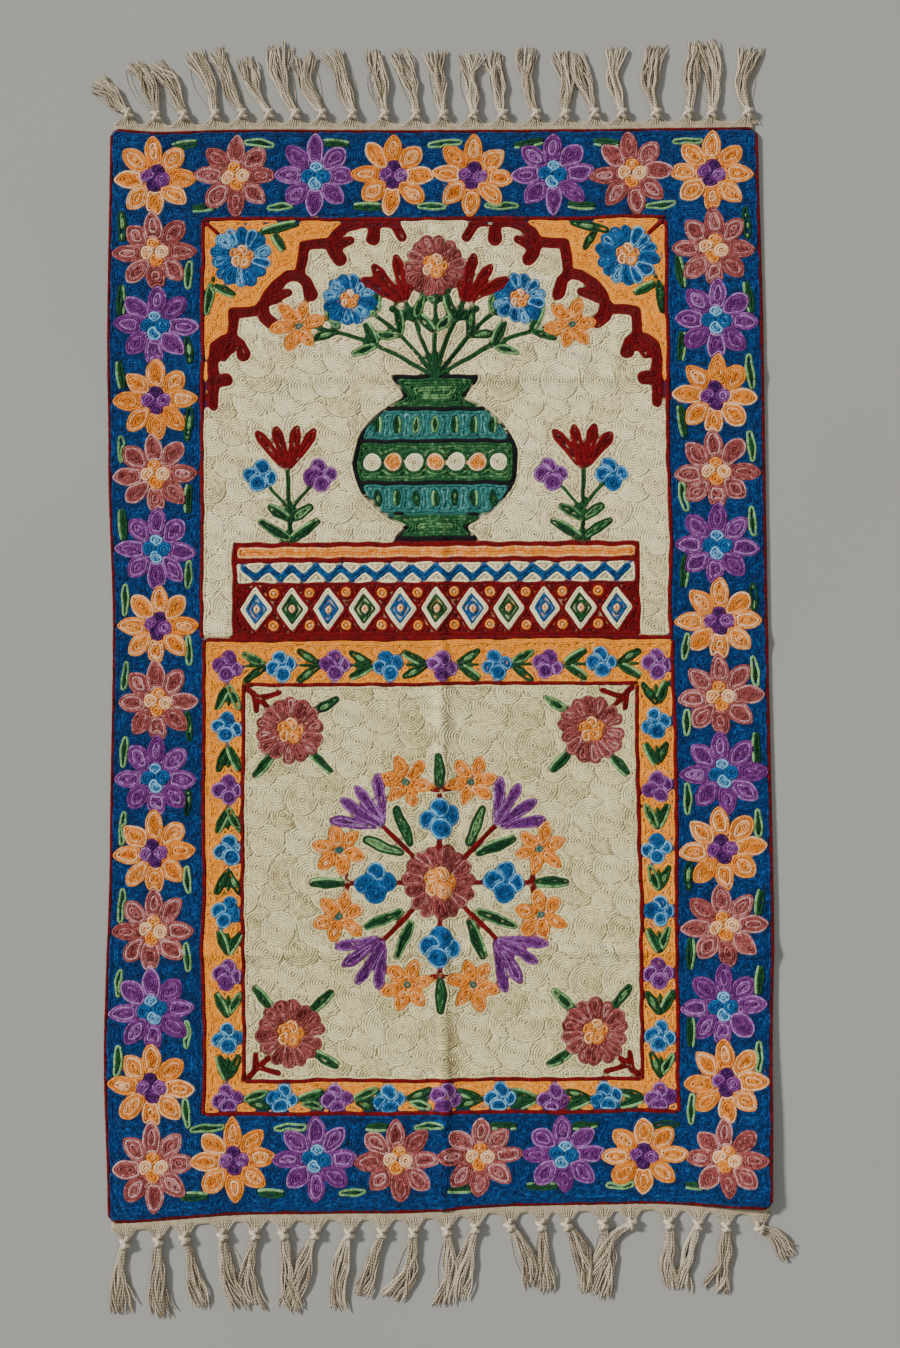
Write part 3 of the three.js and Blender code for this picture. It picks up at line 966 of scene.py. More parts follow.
def frieze(plan):
    """A low wall of pattern: diamonds on dark red, a zigzag and an orange strip over them."""
    x0, x1, y0, y1 = FRIEZE
    left, right = x0 + FRIEZE_EDGE, x1 - FRIEZE_EDGE
    plan.fill(block(x0, x1, y0, y1), "red", (0.45, 0.35))
    plan.fill(block(left, right, y1 - 16, y1 - FRIEZE_EDGE), "orange", (0.6, 0.5))
    plan.fill(block(left, right, y1 - 42, y1 - 21), "cream", (0.6, 0.5))
    turns = 32
    zigzag = [(x0 + 12 + (x1 - x0 - 24) * i / turns, y1 - (26, 37)[i % 2]) for i in range(turns + 1)]
    plan.fill(stroke(zigzag, 3.2), "sky", (0.2,), half=3.2)
    count = 11
    pitch = (x1 - x0 - 12) / count
    middle = (y0 + 4 + y1 - 46) / 2
    for i in range(count):
        x = x0 + 6 + pitch * (i + 0.5)
        plan.fill(diamond(x, middle, 17, 24), "cream", (0.6, 0.5), half=5)
        plan.fill(diamond(x, middle, 11.5, 16.5), ("sky", "green")[i % 2], (0.3, 0.45, 0.3), half=6)
        plan.fill(diamond(x, middle, 4.5, 6.5), "orange", (0.8, 0.5), half=3)
        if i:
            for y in (middle - 17, middle + 17):
                plan.fill(disc(x - pitch / 2, y, 5.5), "orange", (0.5, 0.8), half=5.5)


def shrub(plan, x, foot, side):
    """A flowering plant beside the vase."""
    plan.line(wavering([(x, foot), (x + 3 * side, foot + 88)], 0.8, 30), "green", 0.3, width=STEM)
    for lean in (-52, 52):
        head = turned(x, foot + 46, 90 + lean, 40)
        plan.line([(x, foot + 34), head], "green", 0.3, width=3.0)
        blossom(plan, *head, ("purple", "sky")[lean * side < 0], size=18)
    for y, reach in ((foot + 3, 38), (foot + 24, 28)):
        for spread in (-58, 58):
            leaf(plan, (x, y), turned(x, y, 90 + spread, reach), half=5.8)
    tulip(plan, x + 3 * side, foot + 82, 90, "red", reach=44)


def vase(plan):
    """A footed vase with a tall bouquet, over a low frieze: a plain traditional filling."""
    frieze(plan)
    plan.fill(vase_part(VASE_FOOT, VASE_MOUTH), "black", (0.4,))
    for low, high, wool in VASE_BANDS:
        plan.fill(vase_part(low, high, 4.5), wool, (0.4, 0.55, 0.45, 0.6))
    for i in range(7):
        plan.fill(disc(-66 + 22 * i, VASE_MIDDLE, 9.5), ("cream", "orange")[i % 2], (0.9, 0.5),
                  half=9.5)
    for x in range(-60, 61, 20):
        for foot, tip in ((240, 259), (181, 163)):
            leaf(plan, (x, foot), (x, tip), half=4.4)
    mouth = (0, VASE_MOUTH - 2)
    for angle, reach in BOUQUET:
        rise = 0 if angle == 90 else 1
        head = turned(*mouth, angle, reach)
        middle = turned(*turned(*mouth, angle, reach * 0.5), 90, 12 * rise)
        plan.line(wavering((mouth, middle, head), 0.8, 30), "green", 0.3, width=STEM)
        for part in (0.42, 0.7) if reach > 110 else (0.56,):
            foot = turned(*turned(*mouth, angle, reach * part), 90, 9 * rise)
            for spread in (-42, 42):
                leaf(plan, foot, turned(*foot, angle + spread, 29), half=5.2)
    for side in (-1, 1):
        star(plan, *turned(*mouth, 90 - 69 * side, 154), "orange", "teal", turn=10)
        daisy(plan, *turned(*mouth, 90 - 47 * side, 122), "sky", BOUQUET_HEART,
              size=27, petals=12, heart=10)
        tulip(plan, *turned(*mouth, 90 - 22 * side, 90), 90 - 24 * side, "red")
        shrub(plan, SHRUB_X * side, FRIEZE[3], side)
    daisy(plan, *turned(*mouth, 90, 118), "rose", BOUQUET_HEART, size=32, petals=14, heart=13)


EDGE_INSET = 1.6            # from the cloth's edge to the middle of its red outline
EDGE_LINE = 2.8             # width of that outline


def embroider():
    """Everything worked on the cloth, as rows of stitches."""
    plan = Plan()
    cloth = block(-WIDTH / 2, WIDTH / 2, -LENGTH / 2, LENGTH / 2, CORNER_RADIUS)
    plan.fill(cloth, "blue", (0.5, 0.45, 0.55), pitch=BLUE_PITCH)
    border(plan)
    plan.fill(block(*NICHE), "field", (0.5, 0.55, 0.45), pitch=MOTIF_PITCH)
    plan.fill(block(*BAND_OUTER), "field", (0.5, 0.55, 0.45), pitch=MOTIF_PITCH)
    arch(plan)
    spandrel(plan, -1)
    spandrel(plan, 1)
    vase(plan)
    plan.fill(block(*BAND_INNER), "ivory", CREAM_TONES, coiled=True)
    band(plan)
    for side_x in (-1, 1):
        for side_y in (-1, 1):
            corner_spray(plan, side_x, side_y)
    medallion(plan)
    # The red lines go on last, over the edges of the fields
    for x0, x1, y0, y1 in (NICHE, BAND_OUTER, BAND_INNER):
        frame_line(plan, [(x0, y0), (x1, y0), (x1, y1), (x0, y1)])
    edge_x, edge_y = WIDTH / 2 - EDGE_INSET, LENGTH / 2 - EDGE_INSET
    edge = [(-edge_x, -edge_y), (edge_x, -edge_y), (edge_x, edge_y), (-edge_x, edge_y)]
    frame_line(plan, edge, waver=0, tone=0.2, width=EDGE_LINE)
    plan.rows = list(plan.uncovered())
    follow_outlines(plan)
    fill_ridges(plan)
    coil_rosettes(plan)
    return plan


def in_scene(name, data):
    """An object that shows its data."""
    thing = bpy.data.objects.new(name, data)
    bpy.context.scene.collection.objects.link(thing)
    return thing


# Turning lines into yarn
def hair(name, splines, closed, columns):
    """A curves object: one spline for each array of points, with point attributes."""
    data = bpy.data.hair_curves.new(name)
    data.add_curves([len(points) for points in splines])
    data.attributes["position"].data.foreach_set(
        "vector", np.concatenate(splines).astype(np.float32).ravel())
    data.attributes.new("cyclic", "BOOLEAN", "CURVE").data.foreach_set("value", closed)
    for column, values in columns.items():
        known = data.attributes.get(column) or data.attributes.new(column, "FLOAT", "POINT")
        known.data.foreach_set("value", np.concatenate(values).astype(np.float32))
    return in_scene(name, data)


def swept(name, splines, closed, columns, section, section_closed, across, level=True):
    """One mesh made by sweeping a section along every spline, scaled by the 'radius' column.

    across is the section's own column. level keeps the section upright on the floor."""
    lines = hair(name + "_lines", splines, closed, columns)
    outline = hair(name + "_section", [np.array(section, float)], [section_closed],
                   {"across": [np.array(across, float)]})
    tree = bpy.data.node_groups.new(name + "_sweep", "GeometryNodeTree")
    for side in ("INPUT", "OUTPUT"):
        tree.interface.new_socket("Geometry", in_out=side, socket_type="NodeSocketGeometry")
    drawn = add(tree, "NodeGroupInput")
    given = add(tree, "GeometryNodeObjectInfo", {"Object": outline}, "Geometry")
    curve, profile = (add(tree, "GeometryNodeCurveSplineType", (source,), spline_type="POLY")
                      for source in (drawn, given))
    if level:
        curve = add(tree, "GeometryNodeSetCurveNormal", (curve,), mode="Z_UP")
    mesh = add(tree, "GeometryNodeCurveToMesh", {
        "Curve": curve, "Profile Curve": profile, "Scale": add(tree, "GeometryNodeInputRadius"),
        "Fill Caps": section_closed})
    add(tree, "NodeGroupOutput", (mesh,))
    lines.modifiers.new("Sweep", "NODES").node_group = tree
    graph = bpy.context.evaluated_depsgraph_get()
    geometry = lines.evaluated_get(graph).evaluated_geometry()
    made = geometry.mesh.copy()
    made.name = name
    for helper in (lines, outline):
        bpy.data.objects.remove(helper)
    return made


def piece(name, mesh, materials, replaced=()):
    """A finished piece of the mat, and the solids that it takes the place of."""
    thing = in_scene(name, mesh)
    for material in materials:
        mesh.materials.append(material)
    mesh.polygons.foreach_set("use_smooth", np.full(len(mesh.polygons), True))
    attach(thing, "root")
    if replaced:
        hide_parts(*replaced)
    return thing


UV_SIZE = 1.4               # metres across the UV map, a little over the mat's length


def lay_flat_uv(mesh):
    """A UV map seen straight from above."""
    layer = mesh.uv_layers.new(name="OFBake")
    places = np.empty(3 * len(mesh.vertices), np.float32)
    mesh.vertices.foreach_get("co", places)
    corners = np.empty(len(mesh.loops), np.int32)
    mesh.loops.foreach_get("vertex_index", corners)
    layer.uv.foreach_set("vector", (places.reshape(-1, 3)[corners, :2] / UV_SIZE + 0.5).ravel())


def stitch_rows(name, rows, wool, material):
    """A raised row of chain stitch along each line."""
    splines, radii, tones, lengths = [], [], [], []
    for row in rows:
        points, along = stepped(row.points, row.closed, ROW_STEP)
        half = row.pitch / 2 * ROW_OVERLAP
        width = half * (1 + rng.uniform(-0.09, 0.09, len(points)))
        if not row.closed:
            width[[0, -1]] *= ROW_END
        base = STITCH_BASE * (0.45 + 0.55 * rim(*points.T)) + rng.uniform(-0.12, 0.12)
        splines.append(settled(*points.T, base))
        radii.append(width * MM)
        tones.append(row.tone + rng.normal(0, 0.04) + rng.normal(0, wool.heather, len(points)))
        lengths.append(along)
    closed = [row.closed for row in rows]
    columns = {"radius": radii, "tone": tones, "along": lengths}
    section = ((-1, 0, 0), (0, -wool.relief, 0), (1, 0, 0))
    mesh = swept(name, splines, closed, columns, section, False, (-1, 0, 1))
    lay_flat_uv(mesh)
    return piece(name, mesh, [material])


# Materials
MATH, MIX, NOISE = "ShaderNodeMath", "ShaderNodeMix", "ShaderNodeTexNoise"
# A loop of chain stitch, in shares of half a row: how far its legs are from the row's middle where
# they pinch, how much farther they open, and half of a leg's width
LEG_PINCHED, LEG_OPENED, LEG_HALF = 0.16, 0.42, 0.42
# Painted shade on a row, as its light = start + gain * place ** power: on a leg against the eye of
# the loop, in the open part of the loop against the pinch
EYE_PAINTED_SHADE = (0.8, 0.38, 1.0)
PINCH_PAINTED_SHADE = (0.72, 0.42, 0.5)
VALLEY_SHADE_POWER = 2.5          # how narrow the painted shade between two rows is
# Sizes of what is uneven in the yarns, in millimetres. Single hairs are far finer, and the wool's
# are drawn as coarse as they need to show
FIBRE, WOOL_FLECK, DYE_PATCH = 0.5, 1.3, 11
FUZZ, COTTON_FUZZ, SLUB = 1.2, 1.5, 7


def add(tree, kind, inputs=(), output=0, **settings):
    """A node with its settings, and its inputs each set to a value or linked to another's output.

    The inputs go by place, or by name in a dict. Gives back the output that is asked for."""
    node = tree.nodes.new(kind)
    for key, value in settings.items():
        setattr(node, key, value)
    for key, value in inputs.items() if isinstance(inputs, dict) else enumerate(inputs):
        if isinstance(value, bpy.types.NodeSocket):
            tree.links.new(value, node.inputs[key])
        else:
            node.inputs[key].default_value = value
    return node.outputs[output] if len(node.outputs) else None


def linear(hex_colour):
    """An sRGB hex colour as linear RGBA."""
    parts = [int(hex_colour[i:i + 2], 16) / 255 for i in (0, 2, 4)]
    return tuple(c / 12.92 if c < 0.04045 else ((c + 0.055) / 1.055)**2.4 for c in parts) + (1.0,)


def new_material(name):
    """An empty material, its nodes, and the place on the object."""
    made = bpy.data.materials.new(name)
    made.use_nodes = True
    tree = made.node_tree
    tree.nodes.clear()
    return made, tree, add(tree, "ShaderNodeTexCoord", output="Object")


def three_shades(tree, level, colours):
    """From the first colour at level 0, through the second at a half, to the third at 1."""
    first, second, third = map(linear, colours)
    part = add(tree, MATH, (level, 2.0), operation="MULTIPLY")
    beyond = add(tree, MATH, (part, 1.0), operation="SUBTRACT")
    shade = add(tree, MIX, {0: part, 6: first, 7: second}, 2, data_type="RGBA")
    return add(tree, MIX, {0: beyond, 6: shade, 7: third}, 2, data_type="RGBA")


def finish_yarn(tree, colour, height, depth_mm, sheen, roughness):
    """Matte fibre: a soft sheen from its hairs, and hardly any gloss."""
    normal = add(tree, "ShaderNodeBump", {
        "Height": height, "Distance": depth_mm * MM, "Strength": 0.8})
    shader = add(tree, "ShaderNodeBsdfPrincipled", {
        "Base Color": colour, "Normal": normal, "Roughness": roughness, "Sheen Weight": sheen,
        "Sheen Roughness": 0.45, "Specular IOR Level": 0.15, "IOR": 1.5})
    add(tree, "ShaderNodeOutputMaterial", {"Surface": shader})


def stitched_wool(name, wool):
    """Dyed wool worked in chain stitch. Each loop is two plies that part and pinch together, the
    hand dye is uneven along the yarn, and loose fibres blur the surface. Painted shade darkens the
    eye of each loop, the pinch between two loops and the groove between two rows."""
    made, tree, place = new_material(name)
    tone, along, across = (
        add(tree, "ShaderNodeAttribute", output="Fac", attribute_name=column)
        for column in ("tone", "along", "across"))
    fibre, patches, flecks = (
        add(tree, NOISE, {"Vector": place, "Scale": 1 / (size * MM), "Detail": detail})
        for size, detail in ((FIBRE, 3.0), (DYE_PATCH, 3.0), (WOOL_FLECK, 2.0)))
    # The loop, from 0 at a pinch to 1 halfway to the next, and its legs on both sides of the middle
    aside = add(tree, MATH, (across,), operation="ABSOLUTE")
    halves = add(tree, MATH, (along, STITCH / 2), operation="DIVIDE")
    loop = add(tree, MATH, (halves, 1.0), operation="PINGPONG")
    rounded = add(tree, MATH, (loop, 0.6), operation="POWER")
    leg_middle = add(tree, MATH, (rounded, LEG_OPENED, LEG_PINCHED), operation="MULTIPLY_ADD")
    past_leg = add(tree, MATH, (aside, leg_middle), operation="SUBTRACT")
    off_leg = add(tree, MATH, (past_leg,), operation="ABSOLUTE")
    leg = add(tree, "ShaderNodeMapRange", {"Value": off_leg, "From Max": LEG_HALF,
                                           "To Min": 1.0, "To Max": 0.0})
    # The dye, moved from the row's own tone by patches and flecks
    level = tone
    for uneven, amount in ((patches, wool.mottle), (flecks, wool.flecks)):
        swing = add(tree, MATH, (uneven, 0.5), operation="SUBTRACT")
        level = add(tree, MATH, (swing, amount, level), operation="MULTIPLY_ADD")
    # Painted shade: darkest in the eye of each loop, at the pinch between two loops, and between two rows
    light = 1.0
    for spot, (start, gain, power) in (
            (leg, EYE_PAINTED_SHADE), (loop, PINCH_PAINTED_SHADE), (aside, (1.0, -wool.valley, VALLEY_SHADE_POWER))):
        shaped = add(tree, MATH, (spot, power), operation="POWER")
        lit = add(tree, MATH, (shaped, gain, start), operation="MULTIPLY_ADD")
        light = add(tree, MATH, (light, lit), operation="MULTIPLY")
    dyed = three_shades(tree, level, wool[:3])
    # The dye, darkened by that painted shade
    colour = add(tree, "ShaderNodeVectorMath", {0: dyed, "Scale": light}, operation="SCALE")
    hairs = add(tree, MATH, (fibre, 0.35), operation="MULTIPLY")
    relief = add(tree, MATH, (leg, 0.55, hairs), operation="MULTIPLY_ADD")
    finish_yarn(tree, colour, relief, 0.9, 0.07, 0.9)
    return made


def woven_cotton(name, colours, thread):
    """Plain-woven cotton, loosely set: matte, with each thread crossing over and under the next."""
    made, tree, place = new_material(name)
    threads = []
    for axis in "XY":
        along = add(tree, "ShaderNodeSeparateXYZ", (place,), axis)
        turn = add(tree, MATH, (along, math.pi / (thread * MM)), operation="MULTIPLY")
        threads.append(add(tree, MATH, (turn,), operation="SINE"))
    crossing = add(tree, MATH, threads, operation="MULTIPLY")
    weave = add(tree, MATH, (crossing, 0.5, 0.5), operation="MULTIPLY_ADD")
    slubs = add(tree, NOISE, {"Vector": place, "Scale": 1 / (SLUB * MM), "Detail": 3.0})
    uneven = add(tree, MATH, (slubs, 0.8, -0.1), operation="MULTIPLY_ADD")
    # Painted shade where a thread dips under the next, with the slubs' uneven tone
    level = add(tree, MATH, (weave, 0.35, uneven), operation="MULTIPLY_ADD")
    finish_yarn(tree, three_shades(tree, level, colours), weave, 0.5, 0.15, 0.92)
    return made


def ground_canvas(name):
    """The canvas under the stitches: dyed wool fuzz fills it, in the colour of what covers it, and
    painted shade darkens it where it shows between the rows.
    """
    made, tree, place = new_material(name)
    dye = add(tree, "ShaderNodeAttribute", output="Color", attribute_name="dye")
    fuzz = add(tree, NOISE, {"Vector": place, "Scale": 1 / (FUZZ * MM), "Detail": 3.0})
    # Painted shade for the gaps between rows, uneven with the fuzz
    light = add(tree, MATH, (fuzz, 0.5, 0.45), operation="MULTIPLY_ADD")
    colour = add(tree, "ShaderNodeVectorMath", {0: dye, "Scale": light}, operation="SCALE")
    finish_yarn(tree, colour, fuzz, 0.5, 0.15, 0.95)
    return made


def plied_cotton(name, colours):
    """Undyed two-ply cotton: matte, with the plies' twist as slanting ridges along each yarn."""
    made, tree, place = new_material(name)
    tone, along, across = (
        add(tree, "ShaderNodeAttribute", output="Fac", attribute_name=column)
        for column in ("tone", "along", "across"))
    round_yarn = add(tree, MATH, (across, 4 * math.pi), operation="MULTIPLY")
    turns = add(tree, MATH, (along, 2 * math.pi / TWIST, round_yarn), operation="MULTIPLY_ADD")
    wave = add(tree, MATH, (turns,), operation="SINE")
    ply = add(tree, MATH, (wave, 0.5, 0.5), operation="MULTIPLY_ADD")
    fuzz = add(tree, NOISE, {"Vector": place, "Scale": 1 / (COTTON_FUZZ * MM), "Detail": 3.0})
    uneven = add(tree, MATH, (fuzz, 0.5, -0.35), operation="MULTIPLY_ADD")
    # Painted shade in the grooves between the plies
    shaded = add(tree, MATH, (ply, 0.4, tone), operation="MULTIPLY_ADD")
    level = add(tree, MATH, (shaded, uneven), operation="ADD")
    finish_yarn(tree, three_shades(tree, level, colours), ply, 0.4, 0.08, 0.92)
    return made


def pale_floor():
    """A floor in matt paint, plain and pale, with hardly any cloud in it."""
    made, tree, place = new_material("floor_paint")
    cloud = add(tree, NOISE, {"Vector": place, "Scale": 1 / FLOOR_CLOUD, "Detail": 2.0})
    paint = add(tree, MIX, {0: cloud, 6: linear(FLOOR_PAINT[0]), 7: linear(FLOOR_PAINT[1])}, 2,
                data_type="RGBA")
    shader = add(tree, "ShaderNodeBsdfPrincipled", {
        "Base Color": paint, "Roughness": 0.75, "Specular IOR Level": 0.3})
    add(tree, "ShaderNodeOutputMaterial", {"Surface": shader})
    return made


# The wools: three shades, how uneven the dye is, how flecked the fibres are, how far the tone jumps
# from stitch to stitch, a row's height over its half width, and how much painted shade lies between
# two rows. The blue and the orange field lie flattest, and the creams have the most painted shade
# between their rows
Wool = namedtuple("Wool", "dark middle pale mottle flecks heather relief valley")
WOOLS = {
    "blue": Wool("020F2C", "022F61", "10599C", 0.25, 0.9, 0.15, 0.75, 0.38),
    "field": Wool("CA640E", "FF9C20", "FFBA60", 0.2, 0.6, 0.14, 0.75, 0.32),
    "cream": Wool("BCA474", "FAEBB4", "FFFAD6", 0.12, 0.5, 0.12, 1.05, 0.68),
    "ivory": Wool("B09C6A", "EEE0A6", "FBF2C6", 0.12, 0.5, 0.12, 1.05, 0.68),
    "orange": Wool("BC580A", "F0902A", "FACFA2", 0.2, 0.5, 0.12, 1.1, 0.42),
    "rose": Wool("5C161A", "A3524D", "D4A29E", 0.2, 0.5, 0.13, 1.1, 0.42),
    "purple": Wool("380A4E", "78327C", "B080B8", 0.2, 0.5, 0.13, 1.1, 0.42),
    "sky": Wool("05305E", "1464A0", "84BEDA", 0.2, 0.5, 0.11, 1.1, 0.42),
    "green": Wool("052813", "1E552C", "8CBA78", 0.2, 0.4, 0.1, 1.1, 0.42),
    "red": Wool("440107", "750208", "920F18", 0.2, 0.6, 0.15, 0.9, 0.35),
    "black": Wool("09090B", "141417", "2A2A2E", 0.2, 0.3, 0.1, 1.1, 0.42),
    "teal": Wool("16443F", "31766F", "70ABA0", 0.25, 0.6, 0.13, 0.9, 0.35),
}
# The pieces that aren't named for their wool alone
PIECES = {"cream": "cream_rosettes_of_the_niche", "ivory": "cream_rosettes_of_the_square"}

DYE_ROOM = 5                # how near to the blue ground the canvas is dyed blue
EDGE_CANVAS = 0.6           # the canvas's height at the mat's edge, as a share of the rest


def embroidery(plan):
    """One piece for each wool."""
    made = []
    for name, wool in WOOLS.items():
        rows = [row for row in plan.rows if row.wool == name]
        material = stitched_wool("wool_" + name, wool)
        made.append(stitch_rows(PIECES.get(name, name + "_stitches"), rows, wool, material))
    return made


def cloth(plan, pieces):
    """The canvas that carries the stitches, a closed sheet in the cloth's creases."""
    bm = bmesh.new()
    columns, lines = round(WIDTH / CLOTH_STEP), round(LENGTH / CLOTH_STEP)
    bmesh.ops.create_grid(bm, x_segments=columns, y_segments=lines, size=0.5)
    bmesh.ops.scale(bm, vec=(WIDTH, LENGTH, 1), verts=bm.verts)
    under = list(bm.verts)
    bmesh.ops.extrude_face_region(bm, geom=list(bm.faces), use_keep_orig=True)
    bm.verts.ensure_lookup_table()
    x, y = np.array([vert.co[:2] for vert in bm.verts]).T
    top = np.arange(len(bm.verts)) >= len(under)
    height = np.where(top, CANVAS * (EDGE_CANVAS + (1 - EDGE_CANVAS) * rim(x, y)), 0)
    for vert, place in zip(bm.verts, settled(x, y, height)):
        vert.co = place
    bmesh.ops.recalc_face_normals(bm, faces=bm.faces)
    for face in bm.faces:
        face.material_index = 0 if all(top[vert.index] for vert in face.verts) else 1
    mesh = bpy.data.meshes.new("canvas")
    bm.to_mesh(mesh)
    bm.free()
    wools = np.array([linear(WOOLS[region.wool].middle) for region in plan.regions])
    dye = wools[plan.region[plan.index(x, y)]]
    # Round a motif the blue ground's dye is on the canvas first, so that none of the motif's shows
    for aside_x, aside_y in ((DYE_ROOM, 0), (-DYE_ROOM, 0), (0, DYE_ROOM), (0, -DYE_ROOM)):
        dye[plan.region[plan.index(x + aside_x, y + aside_y)] == 0] = wools[0]
    mesh.attributes.new("dye", "FLOAT_COLOR", "POINT").data.foreach_set("color", dye.ravel())
    lay_flat_uv(mesh)
    backing = woven_cotton("cotton_canvas_back", COTTON, CANVAS_THREAD)
    sheet = piece("canvas", mesh, [ground_canvas("canvas_under_stitches"), backing],
                  ["mat"])
    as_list(pieces)
    return sheet


# The fringes
COTTON = ("65553E", "AD9C7D", "CDC0A3")         # three shades of the undyed canvas
YARN_COTTON = ("766650", "BBAB90", "E9DEC4")    # and of the yarns, from shade to light
KNOT_OUT = {"niche": 16, "foot": 19}            # from the cloth's edge to a knot's middle
# Each row is a tassel: its knot's place across the mat, the way its yarns lean in degrees from
# straight out, and how far they reach
TASSELS = {
    "niche": (
        (-323, -41, 48), (-293, -24, 62), (-264, -31, 65), (-231, -17, 72), (-202, -21, 76),
        (-174, -24, 65), (-146, -16, 78), (-118, -19, 68), (-86, -18, 71), (-52, -8, 71),
        (-19, -18, 72), (10, -6, 70), (42, -5, 66), (73, -7, 68), (108, -6, 72), (139, 1, 67),
        (170, -19, 67), (199, -6, 71), (235, 2, 72), (269, 5, 76), (294, -3, 77), (332, 4, 70)),
    "foot": (
        (-323, -2, 69), (-288, 3, 75), (-260, 15, 72), (-221, 16, 74), (-188, 0, 74),
        (-159, 9, 78), (-127, -19, 79), (-92, -7, 76), (-59, -19, 66), (-27, -17, 69),
        (7, -3, 73), (36, -15, 71), (71, 20, 64), (103, 3, 66), (129, 17, 68), (166, -1, 73),
        (194, -41, 65), (233, 1, 64), (263, -17, 66), (293, -9, 66), (328, 49, 43)),
}
ENDS = {"niche": ("top", 1), "foot": ("bottom", -1)}    # each end's name in pieces, and its side
BUNDLES, YARNS = 4, 8       # bundles in a tassel, and yarns in a bundle
YARN = 0.78                 # a yarn's radius
YARN_SIDES = 5
YARN_END = 0.4              # its cut end, as a share of that
TWIST = 3.2                 # length of one turn of its plies
YARN_STEP = 4.0             # from point to point along its mesh
FAN_YARNS, FAN_YARN = 9, 0.7            # yarns drawn from the strip to a knot, and their radius
FAN_FOOT, FAN_HEAD = 13, 2.2            # half width of that fan at the strip, and at the knot
FAN_OUT, FAN_Z = 3.5, 1.6   # where it starts, out from the cloth's edge and over the floor
KNOT_Z, KNOT_YARN = 3.8, 2.3            # height of a knot's middle, and the radius of its loops
# A knot's loops: how far along the tassel, how many degrees across it, and their half width
KNOT_LOOPS = ((-2.6, 38, 4.0), (0.2, -32, 4.9), (2.9, 26, 4.1))
STRAYS, STRAY = 3, 0.26     # single fibres beside a tassel, and their radius
STRIP_THICKNESS = 1.3
STRIP_HALF = 338            # half the strip's length
STRIP_DEPTH = 8             # bare canvas between two tassels
STRIP_TUCK = 1.2            # how far it reaches in under the cloth's edge
STRIP_Z = 1.75              # height of its upper side
STRIP_COLUMNS, STRIP_LINES = 190, 4     # its grid
SCALLOP, SCALLOP_CURVE = 16, 1.25       # half width of what a knot draws out, and how it narrows
SCALLOP_SHORT = 3.2         # how far short of the knot's middle it stops


def fringe(end, yarn_cotton, strip_cotton):
    """One end's fringe: a canvas strip drawn out to each knot, its knots, and its yarns."""
    name, side = ENDS[end]
    yarns = []

    def place(x, out, z):
        """A point x across the mat and out beyond the cloth's edge, z over the floor."""
        edge_x = np.clip(x, -WIDTH / 2 + CORNER_RADIUS, WIDTH / 2 - CORNER_RADIUS)
        lying_x, lying_y = lying(edge_x, np.full(np.shape(x), side * LENGTH / 2))
        return np.column_stack((ORIGIN[0] + (lying_x + x - edge_x) * MM,
                                ORIGIN[1] + (lying_y + side * out) * MM, z * MM))

    def yarn(x, out, z, radius, tone, cut=True):
        """One yarn through the points, thinner at its cut end."""
        points = place(np.array(x, float), np.array(out, float), np.array(z, float))
        along = np.concatenate(([0], np.cumsum(np.linalg.norm(np.diff(points, axis=0), axis=1))))
        steps = np.linspace(0, along[-1], max(3, round(along[-1] / MM / YARN_STEP) + 1))
        points = np.column_stack([np.interp(steps, along, points[:, i]) for i in range(3)])
        thickness = np.full(len(points), radius * MM)
        if cut:
            thickness[-1] *= YARN_END
        yarns.append((points, thickness, np.full(len(points), tone), steps / MM))

    for knot_x, lean, reach in TASSELS[end]:
        tassel(yarn, knot_x, KNOT_OUT[end], lean, reach)
    points, radii, tones, lengths = zip(*yarns)
    turns = np.arange(YARN_SIDES) / YARN_SIDES
    section = [(math.cos(2 * math.pi * turn), math.sin(2 * math.pi * turn), 0) for turn in turns]
    columns = {"radius": radii, "tone": tones, "along": lengths}
    mesh = swept(end + "_yarns", points, [False] * len(points), columns, section, True, turns,
                 level=False)
    tassels = piece(f"tassels_{name}", mesh, [yarn_cotton], [f"fringe_{name}"])
    return [tassels, fringe_strip(place, end, strip_cotton)]


